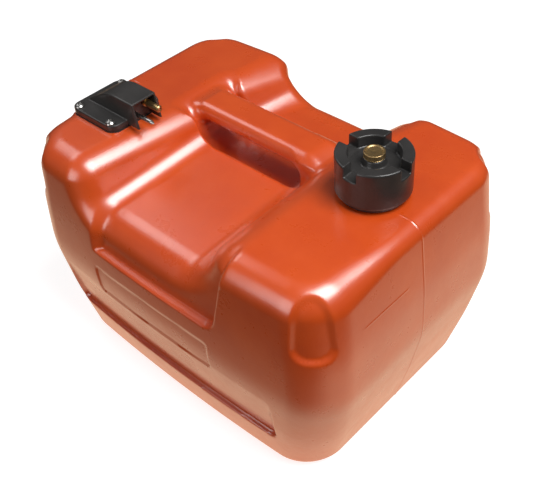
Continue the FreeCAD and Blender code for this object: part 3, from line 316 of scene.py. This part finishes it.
def moulded_plastic(name, base, worn, roughness, gloss, grain=900, coat=1.5):
    """Moulded plastic with a mottled colour, fine grain and rubbed patches."""
    recipe = Recipe(name)
    mottle = recipe.spread(recipe.noise(14, 6, 0.6), 0, 1)
    fine = recipe.noise(grain, 3, 0.6)
    recipe.set(
        Base_Color=recipe.blend(mottle, base, worn),
        Roughness=recipe.spread(recipe.noise(40, 6, 0.7), roughness * 0.8, roughness * 1.35),
        Coat_Weight=gloss,
        Coat_Roughness=roughness * 0.5,
        Coat_IOR=coat,
    )
    recipe.bump(fine, 0.25, 0.0004)
    return recipe


def metal(name, base, tarnish, roughness, stretch, dents=0.2):
    """Turned or plated metal with fine tool marks and tarnish."""
    recipe = Recipe(name)
    marks = recipe.noise(700, 4, 0.7, stretch)
    recipe.set(
        Base_Color=recipe.blend(recipe.spread(recipe.noise(220, 5, 0.6), 0, 1), base, tarnish),
        Metallic=1.0,
        Roughness=recipe.spread(marks, roughness * 0.6, roughness * 1.6),
    )
    recipe.bump(marks, dents, 0.0001)
    return recipe.material


def rubber(name):
    recipe = Recipe(name)
    dusty = recipe.spread(recipe.noise(120, 5), 0, 1)
    recipe.set(
        Base_Color=recipe.blend(dusty, colour(0.012, 0.012, 0.012), colour(0.03, 0.028, 0.026)),
        Roughness=recipe.spread(recipe.noise(300, 3), 0.5, 0.75),
    )
    recipe.bump(recipe.noise(1500, 2), 0.2, 0.0002)
    return recipe.material


# Rough patches of the tank: along x, y and z in metres, and how far each edge fades
BAND_GRAIN = ((-0.114, 0.034), (-0.2, -0.05), (0.064, 0.085))
BAND_FADES = (0.001, 0.001, 0.001)
HAND_GRAIN = ((-0.05, 0.02), (-0.075, -0.01), (0.18, 0.2))
HAND_FADES = (0.012, 0.012, 0.004)
TANK_GLOSS_ROUGHNESS = 0.27


def tank_plastic():
    """Orange-red moulded shell: orange peel, a rough band across the front and a rough hand panel."""
    recipe = moulded_plastic(
        "tank_plastic", colour(0.63, 0.062, 0.004), colour(0.73, 0.090, 0.008), 0.3, 1.0, coat=1.9, grain=500,
    )
    axes = recipe.node("ShaderNodeSeparateXYZ", {"Vector": recipe.where}).outputs

    def window(axis, low, high, fade):
        """1 from low to high along an axis, in metres, 0 a fade outside."""
        rise = recipe.node("ShaderNodeMapRange", {"Value": axes[axis], "From Min": low - fade, "From Max": low})
        fall = recipe.node("ShaderNodeMapRange", {"Value": axes[axis], "From Min": high + fade, "From Max": high})
        return recipe.maths("MULTIPLY", rise.outputs["Result"], fall.outputs["Result"])

    def patch(spans, fades):
        sides = [window(axis, *span, fade) for axis, (span, fade) in enumerate(zip(spans, fades))]
        return recipe.maths("MULTIPLY", recipe.maths("MULTIPLY", sides[0], sides[1]), sides[2])

    rough = recipe.maths("MAXIMUM", patch(BAND_GRAIN, BAND_FADES), patch(HAND_GRAIN, HAND_FADES))
    grain = recipe.maths("MULTIPLY", recipe.noise(1500, 3, 0.7), rough)
    peel = recipe.maths("MULTIPLY", recipe.noise(150, 3, 0.5), 0.35)
    fine = recipe.maths("MULTIPLY", recipe.noise(1100, 2), 0.08)
    recipe.bump(recipe.maths("ADD", recipe.maths("ADD", peel, fine), grain), 0.3, 0.0012)
    recipe.set(Coat_Roughness=TANK_GLOSS_ROUGHNESS)
    return recipe.material


def brass(name):
    return metal(name, colour(0.72, 0.48, 0.20), colour(0.55, 0.38, 0.19), 0.34, (1, 6, 6))


def steel(name):
    return metal(name, colour(0.62, 0.61, 0.59), colour(0.42, 0.41, 0.40), 0.25, (1, 6, 6))


def natural_plastic(name):
    recipe = moulded_plastic(name, colour(0.72, 0.71, 0.66), colour(0.62, 0.60, 0.52), 0.4, 0.1)
    return recipe.material


TANK = tank_plastic()
BLACK = moulded_plastic(
    "black_plastic", colour(0.018, 0.017, 0.017), colour(0.045, 0.042, 0.04), 0.34, 0.25,
).material
RUBBER = rubber("rubber")
BRASS = brass("brass")
STEEL = steel("steel")
NATURAL = natural_plastic("natural_plastic")

# Tank, millimetres: heights of the wall's sections and how far each stands in from the widest one
STATIONS = (0, 58, 112, 160, SHOULDER + 6)
ENDS_IN = (26, 11, 0, 1.6, 10)
SIDES_IN = (15, 5.2, 0, 2, 6)
BELT_DEPTH = HALF_DEPTH + 0.5
CORNER = 38
BOW = 8
FOOT_ROUND = 12
# The crown's rounding at the rear, what the front adds to it, and where along y the change is
CROWN_ROUND = (13, 11)
CROWN_CHANGE = (-60, 80)
# The visible wall in the neck, and how far the hidden inside of the body stands in
WALL = 4
CORE = 9
TROUGH_FLOOR = SHOULDER - 48
LIP = 4
LIP_FLOOR = SHOULDER - 32
REAR_LIP = 62
REAR_FLOOR = SHOULDER - 38
REAR_FADE = 60
CREST_Y = -104
CREST_FLOOR = SHOULDER - 43
# Each side of the trough: its foot at the handle, the run of its slope, and what front and rear add to the foot
TROUGH_LEFT = (-66, 16)
TROUGH_RIGHT = (38, 28)
LEFT_SHIFTS = (-12, 21)
RIGHT_SHIFTS = (2, 14)
REAR_RUN = 14
SLOT_REACH = 8
SLOT_ROUND = 3
TROUGH_FLARE = 18
TROUGH_FILLET = 14
HANDLE_Y = 31.5
HANDLE_HALF = 18.5
HANDLE_TOP = SHOULDER - 1
HANDLE_THICK = 18
HANDLE_EDGE = 8.5
HANDLE_BLEND = 9
HANDLE_SPAN = (-98, 68)
# The dip of the handle's right and left end: where it starts, over how much, how deep
RIGHT_DIP = (42, 20, 9)
LEFT_DIP = (-82, 14, 7)
LEG = (35, 62)
# Recesses in the front and rear wall: feet and tops (x) of the central one, then spans along x and z
RECESS_FLOOR = 148
RECESS_LEFT = (-80, -74)
RECESS_RIGHT = (69, 86)
RECESS_DEPTH = 7
SCALLOP_START = (152, 103, 168)
SCALLOP_DEPTH = 3.2
LABEL_SPAN = (-86, 61)
LABEL_HEIGHTS = (94, 126)
LABEL_DEPTH = 1.2
PANEL_SPAN = (-142, 126)
PANEL_HEIGHTS = (42, 98)
PANEL_DEPTH = 5
NECK_BORE = 20.5
NECK_WALL = 5
THREAD_PITCH = 4.0
THREAD_RIDGE = 1.0
SEAM_Y = 2
MARK_HEIGHT = 179
MARK_SPAN = (-73, -19)
SEAT_HALF = 29
# Grid of the tank: the coarse step, and along each axis the zones (start, end, step) that need a finer one
COARSE = 2.6
MARGIN = 3


def softened(values):
    """Table of a quantity over height, its corners eased over a span of heights."""
    heights = np.arange(-60.0, SHOULDER + 60)
    table = np.interp(heights, STATIONS, values)
    low, high = values[0] - values[1], values[-1] - values[-2]
    table += np.where(heights < 0, -heights * low / (STATIONS[1] - STATIONS[0]), 0)
    table += np.where(heights > STATIONS[-1], (heights - STATIONS[-1]) * high / (STATIONS[-1] - STATIONS[-2]), 0)
    window = np.hanning(47)
    return heights[23:-23], np.convolve(table, window / window.sum(), "valid")


END_TABLE = softened(ENDS_IN)
SIDE_TABLE = softened(SIDES_IN)


def wall_field(x, y, z):
    half_x = HALF_LENGTH - np.interp(z, *END_TABLE)
    half_y = BELT_DEPTH - np.interp(z, *SIDE_TABLE) - BOW * (x / HALF_LENGTH) ** 2
    return meet(np.abs(x) - half_x, np.abs(y) - half_y, CORNER)


def trough_field(x, y, z):
    """Empty space over the trough: a sloping panel in front, the slot under the handle, a panel behind it."""
    ahead = np.clip((LIP - y) / (LIP - CREST_Y), 0, 1.15)
    behind = np.clip((y - REAR_LIP) / REAR_FADE, 0, 1)
    left_foot = TROUGH_LEFT[0] + LEFT_SHIFTS[0] * ahead + LEFT_SHIFTS[1] * behind
    right_foot = TROUGH_RIGHT[0] + RIGHT_SHIFTS[0] * ahead + RIGHT_SHIFTS[1] * behind
    left = -slope_side(x - left_foot, z, (0, TROUGH_FLOOR), (-TROUGH_LEFT[1] - REAR_RUN * behind, SHOULDER))
    right = slope_side(x - right_foot, z, (0, TROUGH_FLOOR), (TROUGH_RIGHT[1], SHOULDER))
    panel = LIP_FLOOR + (CREST_FLOOR - LIP_FLOOR) * ahead
    panel = np.where(y > HANDLE_Y, REAR_FLOOR, panel)
    panels = meet(np.maximum(left, right), panel - z, TROUGH_FILLET)
    slot_sides = np.maximum(left - SLOT_REACH, right)
    slot = meet(slot_sides, TROUGH_FLOOR - z, TROUGH_FILLET)
    slot = meet(slot, between(y, LIP, REAR_LIP), SLOT_ROUND)
    return -meet(-panels, -slot, 4)


def inset_depth(x, y, z):
    """How far the recesses stand in from the plain wall."""
    left = -slope_side(x, z, (RECESS_LEFT[0], RECESS_FLOOR), (RECESS_LEFT[1], SHOULDER))
    right = slope_side(x, z, (RECESS_RIGHT[0], RECESS_FLOOR), (RECESS_RIGHT[1], SHOULDER))
    recess = meet(right, RECESS_FLOOR - z, 10)
    depth = RECESS_DEPTH * soft_step(recess, 5) * soft_step(left, 12)
    corner = meet(SCALLOP_START[0] - np.abs(x), SCALLOP_START[1] - np.abs(y), 14)
    scallop = meet(corner, SCALLOP_START[2] - z, 12)
    depth = depth + SCALLOP_DEPTH * soft_step(scallop, 4.5)
    label = meet(between(x, *LABEL_SPAN), between(z, *LABEL_HEIGHTS), 4)
    depth = depth + LABEL_DEPTH * soft_step(label, 2) * (y < 0)
    panel = meet(between(x, *PANEL_SPAN), between(z, *PANEL_HEIGHTS), 7)
    fade = np.clip((PANEL_HEIGHTS[1] - z) / (PANEL_HEIGHTS[1] - PANEL_HEIGHTS[0]), 0, 1)
    return depth + PANEL_DEPTH * fade * soft_step(panel, 2.6)


def plain_tank(x, y, z):
    """The body as a solid, without its handle."""
    walls = wall_field(x, y, z) + inset_depth(x, y, z)
    top = meet(z - SHOULDER, -trough_field(x, y, z), TROUGH_FLARE)
    crown_round = CROWN_ROUND[0] + CROWN_ROUND[1] * soft_step(y - CROWN_CHANGE[0], CROWN_CHANGE[1])
    return meet(meet(walls, top, crown_round), -z, FOOT_ROUND)


def dip(way, start, over, depth):
    """How far a handle's end sinks, way being how far along that end a point lies."""
    return depth * np.clip((way - start) / over, 0, 1.4) ** 2


def handle_field(x, y, z):
    middle = HANDLE_TOP - HANDLE_THICK / 2
    across = np.abs(y - HANDLE_Y) - HANDLE_HALF
    droop = dip(x, *RIGHT_DIP) + dip(-x, -LEFT_DIP[0], *LEFT_DIP[1:])
    bar = meet(across, np.abs(z + droop - middle) - HANDLE_THICK / 2, HANDLE_EDGE)
    bar = np.maximum(bar, between(x, *HANDLE_SPAN))
    leg = meet(between(x, *LEG), across, HANDLE_EDGE)
    leg = np.maximum(leg, between(z, TROUGH_FLOOR - 8, middle))
    return join(bar, leg, HANDLE_BLEND)


def ridges(x, y, z):
    """Fine raised lines: the moulding seam and one level mark on the right-hand end."""
    seam = np.maximum(np.abs(y - SEAM_Y) - 0.5, HALF_LENGTH - 30 - np.abs(x))
    mark = np.maximum(np.maximum(np.abs(z - MARK_HEIGHT) - 0.4, between(y, *MARK_SPAN)), 150 - x)
    return 0.35 * soft_step(seam, 1.0) + 0.3 * soft_step(mark, 0.8)


def tank_field(x, y, z):
    plain = plain_tank(x, y, z)
    outside = join(plain, handle_field(x, y, z), HANDLE_BLEND)
    reach = np.maximum(np.abs(x - FITTING[0]), np.abs(y - FITTING[1])) - SEAT_HALF
    seat = meet(reach, between(z, SHOULDER - 16, SHOULDER), 0.8)
    outside = join(outside, seat, 3)
    outside = outside - ridges(x, y, z)
    bore = np.hypot(x - CAP[0], y - CAP[1]) - NECK_BORE
    bore = np.maximum(bore, SHOULDER - 30 - z)
    return np.maximum(np.maximum(outside, -(plain + CORE)), -bore)


def make_tank():
    far, deep = HALF_LENGTH + MARGIN, HALF_DEPTH + MARGIN
    xs = graded(-far, far, COARSE, [
        (-172, -165, 1.2), (-145, -70, 1.4), (34, 82, 1.4), (107, 114, 1.2), (134, 150, 1.5),
    ])
    ys = graded(-deep, deep, COARSE, [
        (-deep, -96, 1.4), (-2, 10, 1.3), (1, 3, 0.5), (40, 50, 1.6), (88, deep, 1.6),
    ])
    zs = graded(-MARGIN, SHOULDER + MARGIN, COARSE, [
        (0, 5, 1.4), (17, 25, 0.9), (57, 64, 1), (85, 91, 1), (100, 112, 1), (134, 150, 1.4),
        (177, 181, 0.6), (182, 232, 1.6),
    ])
    points, faces = surface(tank_field, xs, ys, zs)
    points = np.clip(points, tank_low, tank_high)
    tank = new_object("moulded_tank", points, faces, TANK)
    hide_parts("tank_shell")
    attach(tank, "tank")


def make_neck():
    """Filler neck with its thread, from inside the wall to the rim."""
    rim = NECK_RIM - SHOULDER
    outer = NECK_BORE + NECK_WALL
    corners = [(NECK_BORE, -WALL - 6), (outer, -WALL - 6)]
    corners += [(outer, height) for height in np.arange(2, rim - 1.5, 0.4)]
    corners += [(outer, rim, 1.0), (NECK_BORE, rim, 1.0)]

    def threaded(radius, height, turn):
        wave = np.cos((height / THREAD_PITCH - turn / (2 * math.pi)) * 2 * math.pi)
        fade = np.clip((height - 2.5) / 2, 0, 1) * np.clip((rim - 1.5 - height) / 2, 0, 1)
        return radius + THREAD_RIDGE * np.clip(wave * 1.5, 0, 1) * fade * (radius > outer - 0.01), height

    neck = turned("filler_neck", corners, TANK, (CAP[0], CAP[1], SHOULDER), shape=threaded)
    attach(neck, "tank")


# Cap, millimetres above the shoulder
CAP_RADIUS = (node_box("cap_shell")[1][0] - node_box("cap_shell")[0][0]) / 2
COLLAR = CAP_RADIUS - 3
WELL = CAP_RADIUS - 10
CAP_FOOT = node_box("cap_shell")[0][2] - SHOULDER
CAP_RIM = node_box("cap_shell")[1][2] - SHOULDER
DECK = CAP_RIM - 10
BOSS_TOP = DECK + 5.5
BOSS_RADIUS = 10.5
BOSS_TAPER = 0.32
NOTCH_HALF = 6
NOTCH_START = 18
CAP_INSIDE = 27
VENT_BORE = 6.5
FINE_STEP = 0.75


def cap_field(x, y, z):
    radius = np.hypot(x, y)
    wall = meet(radius - CAP_RADIUS, between(z, CAP_FOOT + 3.8, CAP_RIM), 1.6)
    collar = meet(radius - COLLAR, between(z, CAP_FOOT, CAP_FOOT + 8), 0.4)
    solid = np.minimum(wall, collar)
    well = meet(radius - WELL, DECK - z, 1.0)
    solid = cut(solid, well, 1.4)
    notch_x = meet(np.abs(y) - NOTCH_HALF, NOTCH_START - np.abs(x), 0.5)
    notch_y = meet(np.abs(x) - NOTCH_HALF, NOTCH_START - np.abs(y), 0.5)
    notch = meet(np.minimum(notch_x, notch_y), DECK - z, 0.8)
    solid = cut(solid, notch, 0.9)
    boss = meet(radius - BOSS_RADIUS + BOSS_TAPER * (z - DECK), z - BOSS_TOP, 0.8)
    solid = join(solid, np.maximum(boss, DECK - 3 - z), 1.0)
    hollow = np.maximum(radius - CAP_INSIDE, z - (DECK - 4))
    solid = np.maximum(solid, -hollow)
    return np.maximum(solid, VENT_BORE - radius)


def make_cap():
    reach = CAP_RADIUS + 1.5
    line = np.arange(-reach, reach + FINE_STEP, FINE_STEP)
    points, faces = surface(cap_field, line, line, np.arange(CAP_FOOT - 1, CAP_RIM + 1.5, FINE_STEP))
    cap = new_object("cap_moulding", points, faces, BLACK, (CAP[0], CAP[1], SHOULDER))
    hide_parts("cap_shell")
    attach(cap, "cap")


def make_vent():
    """Brass vent screw, knurled round its head and dished on top."""
    low, high = node_box("vent_screw")
    low, high = low[2] - SHOULDER, high[2] - SHOULDER
    head_foot = high - 5
    teeth = 40

    def knurled(radius, height, turn):
        side = (radius > 8.0) & (height > head_foot + 0.3) & (height < high - 0.8)
        radius = radius - 0.22 * side * (0.5 + 0.5 * np.cos(turn * teeth))
        return radius, height

    vent = turned("vent_knob", [
        (0.01, low), (2.5, low), (2.5, low + 2.6), (3, low + 2.6), (3, head_foot + 1.4), (4.9, head_foot + 1.4),
        (4.9, head_foot), (8.7, head_foot, 0.4), (8.7, head_foot + 1), (8.7, high - 1.2), (8.7, high, 0.5),
        (7.2, high, 0.3), (6.6, high - 0.6, 0.3), (0.01, high - 0.9),
    ], BRASS, (CAP[0], CAP[1], SHOULDER), sides=240, shape=knurled)
    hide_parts("vent_screw")
    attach(vent, "vent")


# Fuel fitting, millimetres from its middle and above the shoulder
GASKET = 2
FLANGE_TOP = 8
FLANGE_HALF = 30
SCREW_PLACES = ((-22, -25), (-22, 25), (22, -25), (22, 25))
ROOF = node_box("fitting_housing")[1][2] - SHOULDER


def housing_field(x, y, z):
    plate = meet(meet(np.abs(x) - FLANGE_HALF, np.abs(y) - FLANGE_HALF, 9), between(z, GASKET, FLANGE_TOP), 1.0)
    ramp = -slope_side(x, z, (-26, FLANGE_TOP), (5, ROOF))
    lip = slope_side(x, z, (45, 2.5), (40, ROOF))
    outline = meet(meet(ramp, z - ROOF, 6), lip, 0.6)
    outline = np.maximum(outline, 2.5 - z)
    cowl = meet(outline, between(y, -12, 16), 1.4)
    solid = join(plate, cowl, 0.8)
    mouth = meet(meet(between(y, -10, 14), z - (ROOF - 2), 0.8), 30 - x, 0.5)
    solid = np.maximum(solid, -mouth)
    spigot = np.maximum(np.hypot(x, y) - 9, between(z, -14, 3))
    return np.minimum(solid, spigot)


def make_housing():
    xs = np.arange(-31.5, 47, FINE_STEP)
    ys = np.arange(-31.5, 32.5, FINE_STEP)
    zs = np.arange(-15.5, ROOF + 2, FINE_STEP)
    points, faces = surface(housing_field, xs, ys, zs)
    housing = new_object("housing_moulding", points, faces, BLACK, (FITTING[0], FITTING[1], SHOULDER))
    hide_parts("fitting_housing")
    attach(housing, "tank")


def screw_field(x, y, z):
    """Domed head with a cross recess on a plain shank."""
    head = meet(np.hypot(x, y) - 4.6, between(z, FLANGE_TOP, FLANGE_TOP + 3.2), 0.3)
    ball = np.sqrt(x * x + y * y + (z - FLANGE_TOP + 2.2) ** 2) - 5.4
    head = np.maximum(head, ball)
    arm = np.minimum(
        np.maximum(np.abs(x) - 0.6, np.abs(y) - 2.7 + (FLANGE_TOP + 3.2 - z) * 0.6),
        np.maximum(np.abs(y) - 0.6, np.abs(x) - 2.7 + (FLANGE_TOP + 3.2 - z) * 0.6),
    )
    head = cut(head, np.maximum(arm, FLANGE_TOP + 1.4 - z), 0.15)
    shank = np.maximum(np.hypot(x, y) - 2.5, between(z, -7, FLANGE_TOP + 1))
    return np.minimum(head, shank)


def make_screws():
    line = np.arange(-5.2, 5.3, 0.4)
    points, faces = surface(screw_field, line, line, np.arange(-7.6, FLANGE_TOP + 4, 0.4), 0.25)
    every_point, every_face = [], []
    for number, (along, across) in enumerate(SCREW_PLACES):
        turn = 0.4 + number * 1.3
        swung = points @ np.array([
            [math.cos(turn), math.sin(turn), 0], [-math.sin(turn), math.cos(turn), 0], [0, 0, 1],
        ])
        every_face.append(faces + number * len(points))
        every_point.append(swung + (FITTING[0] + along, FITTING[1] + across, SHOULDER))
    screws = new_object(
        "cross_head_screws", np.concatenate(every_point), np.concatenate(every_face), STEEL, smooth_angle=40,
    )
    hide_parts("flange_screws")
    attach(screws, "tank")


def paint_nodes():
    """Materials of the CAD nodes, also of those that a piece here replaces."""
    finishes = {
        RUBBER: ["cap_gasket", "vent_o_ring", "fitting_gasket", "prong_seal", "pickup_seal"],
        BRASS: ["vent_bush", "flange_inserts", "fuel_prong", "check_plunger"],
        STEEL: ["vent_clip", "flange_screws", "check_spring", "guide_pin", "strainer_mesh"],
        NATURAL: ["cap_baffle", "pickup_tube", "pickup_collar", "strainer_cage"],
        BLACK: ["cap_shell", "fitting_housing"],
        TANK: ["tank_shell"],
    }
    for material, names in finishes.items():
        for name in names:
            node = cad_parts[name]
            for place in range(len(node.material_slots)):
                node.material_slots[place].material = material


# Stage: the white sheet as the part's gloss sees it, left, right, front and rear edges in metres
SHEET = ((-0.75, 0), (0.45, 0), (-0.275, 1), (0.9, 1))
SHEET_FADE = 0.15
SHEET_GLOW = 0.95
ROOM_GLOW = 0.05
SHEET_TINT = (1.0, 0.68, 0.46)
PAPER = 0.5
PAPER_GLOW = 0.8
FLOOR_REACH = 6000
FLOOR_DROP = -0.3
ROOM_LIGHT = 0.07
ROOM_WHITE = 1.05
# Lamps: place, target, width and depth in metres, power in watts
LAMPS = {
    "left_softbox": ((-0.85, -0.1, 1.15), (0, 0, 0.15), (0.7, 0.5), 2.4),
    "overhead": ((0.75, 0.1, 1.5), (0, 0, 0.1), (0.9, 0.9), 25),
    "front_fill": ((-0.1, -1.3, 0.7), (0, 0, 0.1), (0.9, 0.9), 5),
}


def make_floor():
    """White floor; its sheet is bright to the part's gloss, and the camera sees it white with the part's shadow."""
    recipe = Recipe("floor")
    tree = recipe.tree
    axes = recipe.node("ShaderNodeSeparateXYZ", {"Vector": recipe.where}).outputs
    sheet = None
    for number, (edge, axis) in enumerate(SHEET):
        inward = SHEET_FADE if number % 2 == 0 else -SHEET_FADE
        side = recipe.node(
            "ShaderNodeMapRange", {"Value": axes[axis], "From Min": edge, "From Max": edge + inward},
            interpolation_type="SMOOTHSTEP",
        ).outputs["Result"]
        sheet = side if sheet is None else recipe.maths("MULTIPLY", sheet, side)
    glow = recipe.maths("ADD", recipe.maths("MULTIPLY", sheet, SHEET_GLOW), ROOM_GLOW)
    bounced = recipe.node("ShaderNodeEmission", {"Strength": glow, "Color": colour(*SHEET_TINT)})
    paper = recipe.node("ShaderNodeBsdfDiffuse", {"Color": colour(PAPER, PAPER, PAPER)})
    white = recipe.node("ShaderNodeEmission", {"Strength": PAPER_GLOW})
    shown = recipe.node("ShaderNodeAddShader")
    tree.links.new(paper.outputs[0], shown.inputs[0])
    tree.links.new(white.outputs[0], shown.inputs[1])
    path = recipe.node("ShaderNodeLightPath")
    choice = recipe.node("ShaderNodeMixShader", {0: path.outputs["Is Camera Ray"]})
    tree.links.new(bounced.outputs[0], choice.inputs[1])
    tree.links.new(shown.outputs[0], choice.inputs[2])
    tree.links.new(choice.outputs[0], tree.nodes["Material Output"].inputs["Surface"])
    far = FLOOR_REACH
    corners = [(-far, -far, 0), (far, -far, 0), (far, far, 0), (-far, far, 0)]
    floor = new_object("floor", corners, [(0, 1, 2, 3)], recipe.material, (0, 0, FLOOR_DROP))


def add_light(name, place, target, size, power):
    data = bpy.data.lights.new(name, "AREA")
    data.shape = "RECTANGLE"
    data.size, data.size_y = size
    data.energy = power
    light = bpy.data.objects.new(name, data)
    light.location = place
    light.rotation_euler = (Vector(target) - Vector(place)).to_track_quat("-Z", "Y").to_euler()
    bpy.context.scene.collection.objects.link(light)


def make_light():
    world = bpy.data.worlds.new("room")
    bpy.context.scene.world = world
    world.use_nodes = True
    tree = world.node_tree
    background = tree.nodes["Background"]
    path = tree.nodes.new("ShaderNodeLightPath")
    strength = tree.nodes.new("ShaderNodeMapRange")
    strength.inputs["To Min"].default_value = ROOM_LIGHT
    strength.inputs["To Max"].default_value = ROOM_WHITE
    tree.links.new(path.outputs["Is Camera Ray"], strength.inputs["Value"])
    tree.links.new(strength.outputs["Result"], background.inputs["Strength"])
    background.inputs["Color"].default_value = colour(1, 1, 1)
    for name, lamp in LAMPS.items():
        add_light(name, *lamp)


# Camera: focal length in picture widths, turn, fall and roll in degrees, place in metres
PICTURE = (557, 503)
FOCAL = 874.2 / PICTURE[0]
TURN, FALL, ROLL = 45.27, 42.76, 3.99
EYE = (0.4515, -0.4276, 0.673)


def make_camera():
    data = bpy.data.cameras.new("camera")
    data.sensor_width = 36
    data.lens = FOCAL * data.sensor_width
    data.clip_start = 0.01
    data.clip_end = 50
    camera = bpy.data.objects.new("camera", data)
    turn, fall, roll = (math.radians(angle) for angle in (TURN, FALL, ROLL))
    ahead = Vector((-math.sin(turn) * math.cos(fall), math.cos(turn) * math.cos(fall), -math.sin(fall)))
    right = ahead.cross(Vector((0, 0, 1))).normalized()
    down = ahead.cross(right)
    across = right * math.cos(roll) + down * math.sin(roll)
    below = down * math.cos(roll) - right * math.sin(roll)
    pose = Matrix((across, -below, -ahead)).transposed().to_4x4()
    pose.translation = EYE
    camera.matrix_world = pose
    bpy.context.scene.collection.objects.link(camera)
    bpy.context.scene.camera = camera


paint_nodes()
make_tank()
make_neck()
make_cap()
make_vent()
make_housing()
make_screws()
make_floor()
make_light()
make_camera()
bpy.context.scene.view_settings.view_transform = "Standard"
